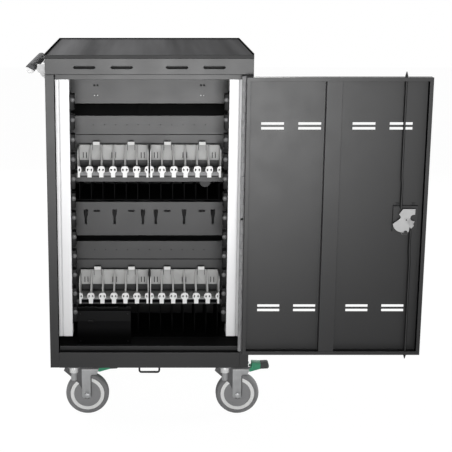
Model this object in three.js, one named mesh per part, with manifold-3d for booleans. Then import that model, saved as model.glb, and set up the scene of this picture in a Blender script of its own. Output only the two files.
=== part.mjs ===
// Laptop charging cart: a sheet steel cabinet on four swivel casters, seen from its charger side.
// Millimetres, +Z up. The cabinet stands on X = 0 with its charger face at Y = 0 and its laptop face
// at Y = CABINET_DEPTH, and the finished group is moved so that its footprint is centred on the origin.
import * as THREE from 'three';
import { mergeVertices } from 'three/addons/utils/BufferGeometryUtils.js';
import Module from 'manifold-3d';

const wasm = await Module();
wasm.setup();

// Cabinet
const CABINET_WIDTH = 560;
const CABINET_DEPTH = 500;
const DECK_HEIGHT = 1053;
const BASE_UNDERSIDE = 168;
const SHEET = 2;
const SEAT_GAP = 0.3;
const STILE_WIDTH = 24.5;
const STILE_RETURN = 28;
const SILL_HEIGHT = 45;
const SILL_RECESS = 13;
const SILL_EDGE = 0.5;
const STOP_RAIL_RISE = 9;
const LID_HEIGHT = 53;
const DECK_EDGE = 9.5;
const SKIRT_SETBACK = 1.2;
const DECK_RIM_HEIGHT = 4;
const DECK_RIM_WIDTH = 3;
const HEADER_DROP = 16;
const LID_SLOT_LENGTH = 60;
const LID_SLOT_WIDTH = 7.5;
const LID_SLOT_OFFSETS = [-174, -74, 74, 174];
const LID_SLOT_DROP = 33.5;

// Doors
const DOOR_CLEARANCE_SIDE = 8;
const DOOR_CLEARANCE_BOTTOM = 7;
const DOOR_CLEARANCE_TOP = 3;
const DOOR_DEPTH = 26;
const DOOR_SHEET = 1.5;
const DOOR_LIP = 10;
const HINGE_OUTSET = 5.6;
const HINGE_STAND_OFF = 5;
const KNUCKLE_RADIUS = 4.6;
const KNUCKLE_COUNT = 9;
const KNUCKLE_GAP = 0.6;
const HINGE_PIN_RADIUS = 1.9;
const HINGE_BORE_RADIUS = 2.4;
const LEAF_WIDTH = 20;
const LEAF_SHEET = 1.5;
const VENT_LENGTH = 61.5;
const VENT_WIDTH = 7;
const VENT_PITCH = 13;
const VENT_OFFSETS = [-171.5, -71.5, 74.5, 174.5];
const VENT_FROM_TOP = 133.4;
const VENT_FROM_BOTTOM = 130;
const STIFFENER_WIDTH = 42;
const STIFFENER_OFFSET = 13.9;

// Three point lock of the charger door
const LOCK_EDGE_DISTANCE = 54.4;
const LOCK_HEIGHT = 608;
const LOCK_CASE_WIDTH = 68;
const LOCK_CASE_HEIGHT = 72;
const LOCK_CASE_DEPTH = 8;
const LOCK_CASE_EAR = 8;
const CAM_SHEET = 2.5;
const CAM_STAND_OFF = 18.5;
const SPINDLE_RADIUS = 5;
const SPINDLE_CLEARANCE = 0.6;
const ROD_RADIUS = 3.5;
const ROD_OFFSET = 16;
const ROD_DEPTH = 14;
const ROD_CLEARANCE = 1;
const ROD_TIP_LENGTH = 12;
const UPPER_ROD_REACH = 15;
const LOWER_ROD_REACH = 15;
const ROD_LOCK_GAP = 30;
const LOCK_HANDLE_LENGTH = 110;
const LOCK_HANDLE_WIDTH = 20;
const LOCK_HANDLE_DEPTH = 14;
const LOCK_HANDLE_STAND_OFF = 9;
const LOCK_ROSE_RADIUS = 16;
const LAPTOP_CAM_LAP = 6;
const LAPTOP_CAM_CLEARANCE = 1;

// Charger side fittings
const PARTITION_Y = 222;
const TRAY_FRONT_Y = 132;
const TIER_PITCH = 376.5;
const UPPER_TRAY_FLOOR = 704;
const TRAY_LIP_DROP = 10;
const TRAY_BACK_RISE = 96.5;
const RACK_PANEL_RISE = 151;
const RACK_PANEL_DROP = 45;
const CABLE_PANEL_BOTTOM = 496;
const CABLE_PANEL_TOP = 598;
const TOP_PANEL_BOTTOM = 891;
const PANEL_FLANGE = 12;
const T_SLOT_OFFSETS = [-188, -103, -19, 19, 103, 188];
const T_SLOT_HEAD_WIDTH = 12.5;
const T_SLOT_HEAD_HEIGHT = 14.5;
const T_SLOT_TAPER = 8;
const T_SLOT_STEM_WIDTH = 7;
const T_SLOT_STEM_HEIGHT = 22;
const T_SLOT_DROP = 23;
const CABLE_SLOT_OFFSETS = [-155, -53, 53, 155];
const CABLE_SLOT_LENGTH = 21;
const CABLE_SLOT_WIDTH = 6;
const CABLE_SLOT_DROP = 27.2;

// Adapter combs
const COMB_PITCH = 33.6;
const COMB_SLOTS = 6;
const COMB_GAP = 5;
const COMB_DEPTH = 72;
const COMB_BASE = 2.7;
const COMB_RIB = 4.3;
const RIB_STEP = 1;
const COMB_WALL = 3;
const COMB_WALL_BOTTOM = 24.4;
const COMB_WALL_TOP = 69;
const CLIP_THICKNESS = 5;
const CLIP_WIDTH = 21;
const CLIP_HEIGHT = 20.6;
const CLIP_CORNER = 7;
const CLIP_OVERLAP = 0.5;
const STEM_WIDTH = 12.3;
const STEM_DROP = 12;
const CLIP_EYE_OFFSET = 5.3;
const CLIP_EYE_WIDTH = 4.4;
const CLIP_EYE_HEIGHT = 7.7;
const CLIP_EYE_DROP = 10.5;
const TAB_WIDTH = 19.5;
const TAB_RISE = 8.7;
const TAB_SLIT = 2;
const TAB_SLIT_DEPTH = 17;
const TIE_SLOT_WIDTH = 3;
const TIE_SLOT_HEIGHT = 17.5;
const TIE_SLOT_LIFT = 14;
const TIE_SLOT_SPACING = 9;
const MIDDLE_TIE_SPACING = 11.3;
const END_WALL_CORNER = 6;

// Power strips and power unit
const STRIP_FACE = 220;
const STRIP_FRONT_Y = 60;
const STRIP_DEPTH = 45;
const STRIP_BOTTOM = 240;
const STRIP_TOP_GAP = 23;
const STRIP_GROOVE_OFFSET = 26;
const STRIP_GROOVE_WIDTH = 3;
const STRIP_GROOVE_DEPTH = 2;
const STRIP_WALL = 2.5;
const SOCKET_COUNT = 12;
const SOCKET_PITCH = 55.75;
const SOCKET_WIDTH = 30;
const SOCKET_LENGTH = 44;
const SOCKET_ROW_DROP = 25.4;
const SOCKET_RISE = 10;
const SOCKET_BACKING = 2;
const SOCKET_WELL_DEPTH = 4;
const SOCKET_WELL_MARGIN = 4;
const UNIT_LEFT = -215;
const UNIT_WIDTH = 160;
const UNIT_HEIGHT = 104;
const UNIT_DEPTH = 40;
const SWITCH_WIDTH = 18;
const SWITCH_HEIGHT = 8;
const SWITCH_DEPTH = 8;
const SWITCH_CLEARANCE = 0.5;
const SWITCH_FROM_LEFT = 40;
const SWITCH_FROM_TOP = 33;
const INLET_WIDTH = 50;
const INLET_HEIGHT = 32;
const INLET_DEPTH = 22;
const INLET_FLANGE = 5;
const INLET_WELL_DEPTH = 16;
const INLET_FROM_FAR_FACE = 60;
const INLET_HEIGHT_ABOVE_BASE = 62;

// Laptop racks
const FIN_HEIGHT = 90;
const FIN_THICKNESS = 2;
const FIN_DEPTH = 200;
const FIN_SETBACK = 5;
const FIN_PITCH = 34.5;
const LAPTOP_SLOTS = 12;
const RACK_SHEET = 2;
const RACK_FRONT_GAP = 4;
const RACK_DOOR_GAP = 14;
const UPPER_RACK_Z = 600;

// Push handle and security loop
const HANDLE_RADIUS = 13;
const HANDLE_STAND_OFF = 45;
const HANDLE_DROP = 43;
const HANDLE_INSET = 60;
const HANDLE_FAR_INSET = 119;
const BRACKET_INSET = 60;
const BRACKET_SHEET = 4;
const BRACKET_FOOT_WIDTH = 30;
const BRACKET_DROP = 45;
const BRACKET_RISE = 6;
const LOOP_WIDTH = 63;
const LOOP_DROP = 28;
const LOOP_ROD_RADIUS = 3;
const LOOP_CORNER = 6;
const LOOP_Y = 30;

// Casters
const WHEEL_RADIUS = 62.5;
const WHEEL_WIDTH = 30;
const TREAD_ROUND = 5;
const RING_OUTER_RADIUS = 48;
const RING_INNER_RADIUS = 38;
const RING_RECESS = 1.5;
const HUB_BORE_RADIUS = 5.6;
const CASTER_TRAIL = 38;
const CASTER_INSET_X = 62;
const CASTER_INSET_Y = 75;
const CASTER_PLATE_LENGTH = 100;
const CASTER_PLATE_WIDTH = 85;
const CASTER_PLATE_SHEET = 4;
const RACE_RADIUS = 27;
const RACE_HEIGHT = 7;
const CROWN_TOP = 149;
const CROWN_SHEET = 3;
const CROWN_RADIUS = 29;
const CROWN_DISC_TOP = 156.4;
const KINGPIN_RADIUS = 6;
const KINGPIN_CLEARANCE = 0.7;
const KINGPIN_NUT_RADIUS = 10;
const KINGPIN_NUT_HEIGHT = 5;
const FORK_GAP = 36;
const FORK_SHEET = 3;
const LEG_END_RADIUS = 13;
const BRACE_SHEET = 2.5;
const BRACE_BEHIND_AXLE = 15.2;
const BRACE_AHEAD_OF_AXLE = 9.9;
const BRACE_BELOW_AXLE = 8;
const BRACE_TOP_DROP = 4.5;
const BRACE_ARM_DROP = 23.5;
const BRACE_CORNER = 4;
const BEAD_RADIUS = 9;
const BEAD_SINK = 4;
const BEAD_LENGTH = 41;
const COLLAR_RADIUS = 13;
const COLLAR_LENGTH = 17;
const LEG_SHOULDER = 12;
const LEG_TAPER = 50;
const LEG_ARM_DROP = 24;
const LEG_ARM_REACH = 8;
const AXLE_RADIUS = 5;
const AXLE_HEAD_RADIUS = 8.5;
const AXLE_HEAD_HEIGHT = 5;
const PEDAL_WIDTH = 26;
const PEDAL_PIVOT_X = 66;
const PEDAL_PIVOT_Z = 137;
const PEDAL_PIN_RADIUS = 4;
const PEDAL_TIP_X = 128.5;
const PEDAL_TIP_Z = 157.5;
const PEDAL_THICKNESS = 17.5;
const PEDAL_TOE_LENGTH = 24;
const PEDAL_HEEL_BOTTOM = 130;

// Places worked out from the sizes above
const halfWidth = CABINET_WIDTH / 2;
const lidBottom = DECK_HEIGHT - LID_HEIGHT;
const deckEdgeBottom = DECK_HEIGHT - DECK_EDGE;
const deckUnderside = DECK_HEIGHT - SHEET;
const sillTop = BASE_UNDERSIDE + SILL_HEIGHT;
const floorTop = BASE_UNDERSIDE + SHEET;
const openingHalf = halfWidth - STILE_WIDTH;
const wallInside = halfWidth - SHEET;
const fitHalf = wallInside - SEAT_GAP;
const farY = (y) => CABINET_DEPTH - y;
const doorHalf = openingHalf - DOOR_CLEARANCE_SIDE;
const doorBottom = sillTop + DOOR_CLEARANCE_BOTTOM;
const doorTop = lidBottom - DOOR_CLEARANCE_TOP;
const hingeX = doorHalf + HINGE_OUTSET;
const lowerTrayFloor = UPPER_TRAY_FLOOR - TIER_PITCH;
const stripTop = DECK_HEIGHT - STRIP_TOP_GAP;
const inletY = farY(INLET_FROM_FAR_FACE);
const handleZ = DECK_HEIGHT - HANDLE_DROP;
const axleZ = WHEEL_RADIUS;

const cart = new THREE.Group();

// Materials
function finish(color, roughness, metalness) {
  return new THREE.MeshStandardMaterial({ color, roughness, metalness });
}
const graphite = finish(0x4a4a4b, 0.55, 0.3);
const graphiteDark = finish(0x3a3a3b, 0.6, 0.3);
const blackSteel = finish(0x1c1c1d, 0.5, 0.4);
const zinc = finish(0xb4b4b2, 0.35, 0.9);
const stripAluminium = finish(0xe8e8e6, 0.35, 0.3);
const combPlastic = finish(0xd8d8d6, 0.5, 0);
const blackPlastic = finish(0x171717, 0.5, 0);
const wheelGrey = finish(0x6e6e6f, 0.7, 0);
const pedalGreen = finish(0x3f9a72, 0.5, 0);
const handleGrey = finish(0x5a5a5b, 0.5, 0.2);

// Solids
function toSolid(geometry) {
  const bare = geometry.clone();
  bare.deleteAttribute('normal');
  bare.deleteAttribute('uv');
  const merged = mergeVertices(bare, 1e-4);
  const vertProperties = new Float32Array(merged.attributes.position.array);
  const triVerts = new Uint32Array(merged.index.array);
  return new wasm.Manifold(new wasm.Mesh({ numProp: 3, vertProperties, triVerts }));
}

function toGeometry(solid) {
  const mesh = solid.getMesh();
  const geometry = new THREE.BufferGeometry();
  geometry.setAttribute('position', new THREE.BufferAttribute(new Float32Array(mesh.vertProperties), 3));
  geometry.setIndex(new THREE.BufferAttribute(new Uint32Array(mesh.triVerts), 1));
  geometry.computeVertexNormals();
  return geometry;
}

function join(...geometries) {
  const [first, ...rest] = geometries.map(toSolid);
  return toGeometry(rest.reduce((whole, piece) => whole.add(piece), first));
}

function cut(body, tools) {
  return toGeometry(tools.map(toSolid).reduce((left, tool) => left.subtract(tool), toSolid(body)));
}

// Puts each point of a straight piece exactly on one of its two end planes, so that joined faces line up
function squareEnds(geometry, axis, low, high) {
  const points = geometry.attributes.position;
  for (let i = 0; i < points.count; i += 1) {
    const value = points.getComponent(i, axis);
    points.setComponent(i, axis, value < (low + high) / 2 ? low : high);
  }
  return geometry;
}

function block(x0, x1, y0, y1, z0, z1) {
  const geometry = new THREE.BoxGeometry(x1 - x0, y1 - y0, z1 - z0);
  geometry.translate((x0 + x1) / 2, (y0 + y1) / 2, (z0 + z1) / 2);
  squareEnds(geometry, 0, x0, x1);
  squareEnds(geometry, 1, y0, y1);
  return squareEnds(geometry, 2, z0, z1);
}

function rodAlongY(radius, x, y0, y1, z, sides) {
  const geometry = new THREE.CylinderGeometry(radius, radius, y1 - y0, sides);
  return squareEnds(geometry.translate(x, (y0 + y1) / 2, z), 1, y0, y1);
}

function rodAlongZ(radius, x, y, z0, z1, sides) {
  const geometry = new THREE.CylinderGeometry(radius, radius, z1 - z0, sides);
  return squareEnds(geometry.rotateX(Math.PI / 2).translate(x, y, (z0 + z1) / 2), 2, z0, z1);
}

// An outline drawn in X and Z, given a thickness from y0 to y1
function plateFacingY(shape, y0, y1, curveSegments = 3) {
  const geometry = new THREE.ExtrudeGeometry(shape, { depth: y1 - y0, bevelEnabled: false, curveSegments });
  return squareEnds(geometry.rotateX(Math.PI / 2).translate(0, y1, 0), 1, y0, y1);
}

// An outline drawn in Y and Z, given a thickness from x0 to x1
function plateFacingX(shape, x0, x1) {
  const geometry = new THREE.ExtrudeGeometry(shape, { depth: x1 - x0, bevelEnabled: false });
  geometry.rotateX(Math.PI / 2).rotateZ(Math.PI / 2).translate(x0, 0, 0);
  return squareEnds(geometry, 0, x0, x1);
}

function outline(points) {
  return new THREE.Shape(points.map(([a, b]) => new THREE.Vector2(a, b)));
}

// A slot with round ends, lying along X and cut along Y
function slotTool(length, width, x, z, y0, y1) {
  const reach = (length - width) / 2;
  const shape = new THREE.Shape();
  shape.moveTo(-reach, -width / 2);
  shape.absarc(reach, 0, width / 2, -Math.PI / 2, Math.PI / 2, false);
  shape.absarc(-reach, 0, width / 2, Math.PI / 2, 1.5 * Math.PI, false);
  return plateFacingY(shape, y0, y1, 1).translate(x, 0, z);
}

function add(group, name, geometry, material) {
  const mesh = new THREE.Mesh(geometry, material);
  mesh.name = name;
  group.add(mesh);
  return mesh;
}

// Cabinet shell

// A floor sheet between the side walls, with a folded sill channel and door stop along both doors
function basePan() {
  const inner = openingHalf - SEAT_GAP;
  const buried = SHEET / 2;
  const behindStile = STILE_RETURN + SEAT_GAP;
  const corner = [[fitHalf, behindStile], [inner - buried, behindStile], [inner - buried, buried]];
  const plan = [
    ...corner.map(([x, y]) => [x, farY(y)]).reverse(),
    ...corner,
  ];
  const floorShape = outline([...plan, ...plan.map(([x, y]) => [-x, y]).reverse()]);
  const floor = new THREE.ExtrudeGeometry(floorShape, { depth: SHEET, bevelEnabled: false });
  squareEnds(floor.translate(0, 0, BASE_UNDERSIDE), 2, BASE_UNDERSIDE, floorTop);
  const recess = sillTop - SILL_RECESS;
  const stopTop = sillTop + STOP_RAIL_RISE;
  const stop = STILE_RETURN;
  const section = [
    [0, BASE_UNDERSIDE - SILL_EDGE], [SHEET, BASE_UNDERSIDE - SILL_EDGE], [SHEET, recess - SHEET],
    [stop, recess - SHEET], [stop, BASE_UNDERSIDE + buried], [stop + SHEET, BASE_UNDERSIDE + buried],
    [stop + SHEET, stopTop], [stop, stopTop], [stop, recess], [SHEET, recess], [SHEET, sillTop], [0, sillTop],
  ];
  const nearSill = plateFacingX(outline(section), -inner, inner);
  const farSill = plateFacingX(outline(section.map(([y, z]) => [farY(y), z])), -inner, inner);
  return join(floor, nearSill, farSill);
}

// One side wall bent into stiles with inward returns at both ends; side is -1 for left and 1 for right
function sidePanel(side) {
  const near = [
    [halfWidth, 0], [openingHalf, 0], [openingHalf, STILE_RETURN], [openingHalf + SHEET, STILE_RETURN],
    [openingHalf + SHEET, SHEET], [wallInside, SHEET],
  ];
  const far = near.map(([x, y]) => [x, farY(y)]).reverse();
  const section = outline([...near, ...far].map(([x, y]) => [side * x, y]));
  const height = lidBottom - SEAT_GAP - BASE_UNDERSIDE;
  const geometry = new THREE.ExtrudeGeometry(section, { depth: height, bevelEnabled: false });
  return geometry.translate(0, 0, BASE_UNDERSIDE);
}

// A deck with a raised rim on three sides, folded down into skirts, with door stops hanging inside
function topLid() {
  const front = SKIRT_SETBACK;
  const inside = front + SHEET;
  const rimTop = DECK_HEIGHT + DECK_RIM_HEIGHT;
  const profile = outline([
    [front, lidBottom], [farY(front), lidBottom],
    [farY(front), deckEdgeBottom], [CABINET_DEPTH, deckEdgeBottom],
    [CABINET_DEPTH, rimTop], [0, rimTop],
    [0, deckEdgeBottom], [front, deckEdgeBottom],
  ]);
  const rimInside = halfWidth - DECK_RIM_WIDTH;
  const slots = LID_SLOT_OFFSETS.map((x) => (
    slotTool(LID_SLOT_LENGTH, LID_SLOT_WIDTH, x, DECK_HEIGHT - LID_SLOT_DROP, -SHEET, inside + SHEET)
  ));
  const shell = cut(plateFacingX(profile, -halfWidth, halfWidth), [
    block(-wallInside, wallInside, inside, farY(inside), lidBottom - 1, deckUnderside),
    block(-rimInside, rimInside, -1, farY(DECK_RIM_WIDTH), DECK_HEIGHT, rimTop + 1),
    ...slots,
  ]);
  const half = openingHalf - SEAT_GAP;
  const stop = STILE_RETURN;
  const [stopBottom, stopTop] = [lidBottom - HEADER_DROP, deckUnderside + SHEET / 2];
  return join(
    shell,
    block(-half, half, stop, stop + SHEET, stopBottom, stopTop),
    block(-half, half, farY(stop + SHEET), farY(stop), stopBottom, stopTop),
  );
}

// Charger side: partitions, trays and combs

// A panel across the cabinet with its lower edge folded back
function flangedPanel(z0, z1) {
  const y = PARTITION_Y;
  const section = outline([
    [y, z0], [y + PANEL_FLANGE, z0], [y + PANEL_FLANGE, z0 + SHEET],
    [y + SHEET, z0 + SHEET], [y + SHEET, z1], [y, z1],
  ]);
  return plateFacingX(section, -fitHalf, fitHalf);
}

function cablePanel() {
  const through = [PARTITION_Y - SHEET, PARTITION_Y + 2 * SHEET];
  const headTop = CABLE_PANEL_TOP - T_SLOT_DROP;
  const headBottom = headTop - T_SLOT_HEAD_HEIGHT;
  const stemTop = headBottom - T_SLOT_TAPER;
  const stemBottom = stemTop - T_SLOT_STEM_HEIGHT;
  const tools = CABLE_SLOT_OFFSETS.map((x) => (
    slotTool(CABLE_SLOT_LENGTH, CABLE_SLOT_WIDTH, x, CABLE_PANEL_TOP - CABLE_SLOT_DROP, ...through)
  ));
  const head = T_SLOT_HEAD_WIDTH / 2;
  const stem = T_SLOT_STEM_WIDTH / 2;
  for (const x of T_SLOT_OFFSETS) {
    const tee = outline([
      [x - stem, stemBottom], [x + stem, stemBottom], [x + stem, stemTop], [x + head, headBottom],
      [x + head, headTop], [x - head, headTop], [x - head, headBottom], [x - stem, stemTop],
    ]);
    tools.push(plateFacingY(tee, ...through));
  }
  return cut(flangedPanel(CABLE_PANEL_BOTTOM, CABLE_PANEL_TOP), tools);
}

// A shelf folded down in front and up behind
function adapterTray(floor) {
  const [y0, y1] = [TRAY_FRONT_Y, PARTITION_Y - SEAT_GAP];
  const [lip, back] = [floor - TRAY_LIP_DROP, floor + TRAY_BACK_RISE];
  const section = outline([
    [y0, lip], [y0 + SHEET, lip], [y0 + SHEET, floor - SHEET], [y1, floor - SHEET],
    [y1, back], [y1 - SHEET, back], [y1 - SHEET, floor], [y0, floor],
  ]);
  return plateFacingX(section, -fitHalf, fitHalf);
}

// A cable clip's rounded head with its two cable eyes, and the stem that hooks over the tray's lip
function cableClip() {
  const half = CLIP_WIDTH / 2;
  const stem = STEM_WIDTH / 2;
  const shoulder = CLIP_CORNER * 0.8;
  const shape = new THREE.Shape();
  shape.moveTo(-stem, -STEM_DROP);
  shape.lineTo(stem, -STEM_DROP);
  shape.lineTo(stem, 0);
  shape.lineTo(half, shoulder);
  shape.absarc(half - CLIP_CORNER, CLIP_HEIGHT - CLIP_CORNER, CLIP_CORNER, 0, Math.PI / 2, false);
  shape.absarc(CLIP_CORNER - half, CLIP_HEIGHT - CLIP_CORNER, CLIP_CORNER, Math.PI / 2, Math.PI, false);
  shape.lineTo(-half, shoulder);
  shape.lineTo(-stem, 0);
  const middle = CLIP_HEIGHT - CLIP_EYE_DROP;
  for (const side of [-1, 1]) {
    const [x, w, h] = [side * CLIP_EYE_OFFSET, CLIP_EYE_WIDTH / 2, CLIP_EYE_HEIGHT / 2];
    shape.holes.push(outline([
      [x, middle + h], [x - w, middle + h / 2], [x - w, middle - h / 2],
      [x, middle - h], [x + w, middle - h / 2], [x + w, middle + h / 2],
    ]));
  }
  return plateFacingY(shape, -CLIP_THICKNESS, CLIP_OVERLAP, 1);
}

// A moulded comb with its front at Y = 0, standing on Z = 0 and centred on X = 0
function adapterComb() {
  const half = COMB_PITCH * COMB_SLOTS / 2;
  const beyond = CLIP_WIDTH;
  const long = half + beyond / 2;
  const wallY = COMB_DEPTH - COMB_WALL;
  const ribFoot = COMB_BASE / 2;
  const ribBack = COMB_DEPTH - COMB_WALL / 2;
  const ribTop = COMB_WALL_TOP - RIB_STEP;
  const ribFrontTop = CLIP_HEIGHT - CLIP_CORNER / 2;
  const ribSide = outline([
    [0, ribFoot], [ribBack, ribFoot], [ribBack, ribTop], [wallY - COMB_WALL, ribTop],
    [COMB_WALL, ribFrontTop], [0, ribFrontTop],
  ]);
  const endSide = outline([
    [0, ribFoot], [ribBack, ribFoot], [ribBack, ribTop],
    [END_WALL_CORNER, ribTop], [0, ribTop - END_WALL_CORNER],
  ]);
  const pieces = [
    block(-long, long, CLIP_OVERLAP / 2, COMB_DEPTH, 0, COMB_BASE),
    block(-long, long, wallY, COMB_DEPTH, COMB_WALL_BOTTOM, COMB_WALL_TOP),
  ];
  const tools = [];
  for (let i = 0; i <= COMB_SLOTS; i += 1) {
    const x = i * COMB_PITCH - half;
    const side = i % COMB_SLOTS === 0 ? endSide : ribSide;
    pieces.push(plateFacingX(side, x - COMB_RIB / 2, x + COMB_RIB / 2));
    pieces.push(cableClip().translate(x, 0, 0));
  }
  const slotMiddle = (slot) => (slot + 0.5) * COMB_PITCH - half;
  const slit = (x, width, z0, z1) => (
    block(x - width / 2, x + width / 2, wallY - 1, COMB_DEPTH + 1, z0, z1)
  );
  const tabTop = COMB_WALL_TOP + TAB_RISE;
  for (const slot of [1, COMB_SLOTS - 2]) {
    const [x, w, inset] = [slotMiddle(slot), TAB_WIDTH / 2, COMB_WALL / 6];
    const foot = COMB_WALL_TOP - COMB_WALL;
    pieces.push(block(x - w, x + w, wallY + inset, COMB_DEPTH - inset, foot, tabTop));
    for (const side of [-1, 1]) {
      const slitX = x + side * (TAB_WIDTH + TAB_SLIT) / 2;
      tools.push(slit(slitX, TAB_SLIT, COMB_WALL_TOP - TAB_SLIT_DEPTH, tabTop + 1));
    }
  }
  const tieMiddle = COMB_WALL_BOTTOM + TIE_SLOT_LIFT;
  const [tieBottom, tieTop] = [tieMiddle - TIE_SLOT_HEIGHT / 2, tieMiddle + TIE_SLOT_HEIGHT / 2];
  const tiePairs = [
    [slotMiddle(0), TIE_SLOT_SPACING],
    [0, MIDDLE_TIE_SPACING],
    [slotMiddle(COMB_SLOTS - 1), TIE_SLOT_SPACING],
  ];
  for (const [middle, spacing] of tiePairs) {
    for (const side of [-1, 1]) {
      tools.push(slit(middle + side * spacing / 2, TIE_SLOT_WIDTH, tieBottom, tieTop));
    }
  }
  for (const side of [-1, 1]) {
    const [x0, x1] = [side * half, side * (half + 2 * beyond)].sort((a, b) => a - b);
    tools.push(block(x0, x1, -beyond, COMB_DEPTH + 1, -beyond, tabTop + beyond));
  }
  return cut(join(...pieces), tools);
}

function chargerSide() {
  const group = new THREE.Group();
  add(group, 'top_partition_panel', flangedPanel(TOP_PANEL_BOTTOM, deckUnderside - SEAT_GAP), graphite);
  add(group, 'cable_pass_panel', cablePanel(), graphite);
  const tiers = [['upper', UPPER_TRAY_FLOOR], ['lower', lowerTrayFloor]];
  const combShift = (COMB_PITCH * COMB_SLOTS + COMB_GAP) / 2;
  for (const [tier, floor] of tiers) {
    add(group, `${tier}_adapter_tray`, adapterTray(floor), graphiteDark);
    const panel = flangedPanel(floor - RACK_PANEL_DROP, floor + RACK_PANEL_RISE);
    add(group, `${tier}_rack_panel`, panel, graphite);
    for (const [side, sign] of [['left', -1], ['right', 1]]) {
      const comb = add(group, `${tier}_${side}_adapter_comb`, adapterComb(), combPlastic);
      comb.position.set(sign * combShift, TRAY_FRONT_Y - SEAT_GAP - CLIP_OVERLAP, floor + SEAT_GAP);
    }
  }
  return group;
}

// Power strips along both sides of the charger compartment, drawn for the left side

function powerStrip() {
  const housing = block(
    -fitHalf, -STRIP_FACE, STRIP_FRONT_Y, STRIP_FRONT_Y + STRIP_DEPTH, STRIP_BOTTOM, stripTop,
  );
  const grooveX = -STRIP_FACE - STRIP_GROOVE_OFFSET;
  const groove = block(
    grooveX - STRIP_GROOVE_WIDTH, grooveX, STRIP_FRONT_Y - 1, STRIP_FRONT_Y + STRIP_GROOVE_DEPTH,
    STRIP_BOTTOM - 1, stripTop + 1,
  );
  const wall = STRIP_WALL;
  const channel = block(
    -fitHalf + wall, -STRIP_FACE - wall, STRIP_FRONT_Y + wall + STRIP_GROOVE_DEPTH,
    STRIP_FRONT_Y + STRIP_DEPTH - wall, STRIP_BOTTOM - 1, stripTop + 1,
  );
  return cut(housing, [groove, channel]);
}

function socketRow() {
  const face = -STRIP_FACE + SEAT_GAP;
  const middleY = STRIP_FRONT_Y + STRIP_DEPTH / 2;
  const middleZ = (STRIP_BOTTOM + stripTop) / 2 - SOCKET_ROW_DROP;
  const halfRow = SOCKET_PITCH * SOCKET_COUNT / 2;
  const [y0, y1] = [middleY - SOCKET_WIDTH / 2, middleY + SOCKET_WIDTH / 2];
  const pieces = [block(face, face + SOCKET_BACKING, y0, y1, middleZ - halfRow, middleZ + halfRow)];
  const wells = [];
  const top = face + SOCKET_BACKING + SOCKET_RISE;
  for (let i = 0; i < SOCKET_COUNT; i += 1) {
    const z = middleZ + (i + 0.5) * SOCKET_PITCH - halfRow;
    const [z0, z1] = [z - SOCKET_LENGTH / 2, z + SOCKET_LENGTH / 2];
    pieces.push(block(face, top, y0, y1, z0, z1));
    const m = SOCKET_WELL_MARGIN;
    wells.push(block(top - SOCKET_WELL_DEPTH, top + 1, y0 + m, y1 - m, z0 + m, z1 - m));
  }
  return cut(join(...pieces), wells);
}

// A sheet cover, open underneath, with a window for its rocker
function powerUnit() {
  const right = UNIT_LEFT + UNIT_WIDTH;
  const [y0, y1] = [PARTITION_Y - UNIT_DEPTH, PARTITION_Y];
  const bottom = floorTop + SEAT_GAP;
  const body = block(UNIT_LEFT, right, y0, y1, bottom, bottom + UNIT_HEIGHT);
  const x = UNIT_LEFT + SWITCH_FROM_LEFT;
  const z = bottom + UNIT_HEIGHT - SWITCH_FROM_TOP;
  const w = SWITCH_WIDTH / 2 + SWITCH_CLEARANCE;
  const h = SWITCH_HEIGHT / 2 + SWITCH_CLEARANCE;
  const inside = block(
    UNIT_LEFT + SHEET, right - SHEET, y0 + SHEET, y1 - SHEET, bottom - 1, bottom + UNIT_HEIGHT - SHEET,
  );
  return cut(body, [inside, block(x - w, x + w, y0 - 1, y0 + 2 * SHEET, z - h, z + h)]);
}

// A rocker pivoted along Z at the mouth of its pocket, with its face bent to a shallow vee
function rocker() {
  const half = SWITCH_WIDTH / 2;
  const vee = SWITCH_DEPTH / 6;
  const shape = outline([
    [-half, -vee], [0, 0], [half, -vee], [half / 2, SWITCH_DEPTH * 0.7], [-half / 2, SWITCH_DEPTH * 0.7],
  ]);
  const geometry = new THREE.ExtrudeGeometry(shape, { depth: SWITCH_HEIGHT, bevelEnabled: false });
  return geometry.translate(0, 0, -SWITCH_HEIGHT / 2);
}

function mainsInlet() {
  const outside = halfWidth + SEAT_GAP;
  const z = BASE_UNDERSIDE + INLET_HEIGHT_ABOVE_BASE;
  const w = INLET_WIDTH / 2;
  const h = INLET_HEIGHT / 2;
  const body = join(
    block(wallInside - INLET_DEPTH, outside + 1, inletY - w, inletY + w, z - h, z + h),
    block(
      outside, outside + INLET_FLANGE, inletY - w - INLET_FLANGE, inletY + w + INLET_FLANGE,
      z - h - INLET_FLANGE, z + h + INLET_FLANGE,
    ),
  );
  const rim = INLET_FLANGE;
  const mouth = outside + INLET_FLANGE;
  const well = block(
    mouth - INLET_WELL_DEPTH, mouth + 1, inletY - w + rim, inletY + w - rim, z - h + rim, z + h - rim,
  );
  return cut(body, [well]);
}

function inletHole() {
  const z = BASE_UNDERSIDE + INLET_HEIGHT_ABOVE_BASE;
  const w = INLET_WIDTH / 2 + SEAT_GAP;
  const h = INLET_HEIGHT / 2 + SEAT_GAP;
  return block(wallInside - SHEET, halfWidth + SHEET, inletY - w, inletY + w, z - h, z + h);
}

function powerFittings() {
  const group = new THREE.Group();
  for (const [side, sign] of [['left', 1], ['right', -1]]) {
    add(group, `${side}_power_strip`, mirrored(powerStrip(), sign), stripAluminium);
    add(group, `${side}_socket_row`, mirrored(socketRow(), sign), blackPlastic);
  }
  add(group, 'power_unit', powerUnit(), graphiteDark);
  const rockerMesh = add(group, 'power_switch', rocker(), blackPlastic);
  rockerMesh.position.set(
    UNIT_LEFT + SWITCH_FROM_LEFT, PARTITION_Y - UNIT_DEPTH,
    floorTop + SEAT_GAP + UNIT_HEIGHT - SWITCH_FROM_TOP,
  );
  add(group, 'mains_inlet', mainsInlet(), blackPlastic);
  return group;
}

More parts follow.
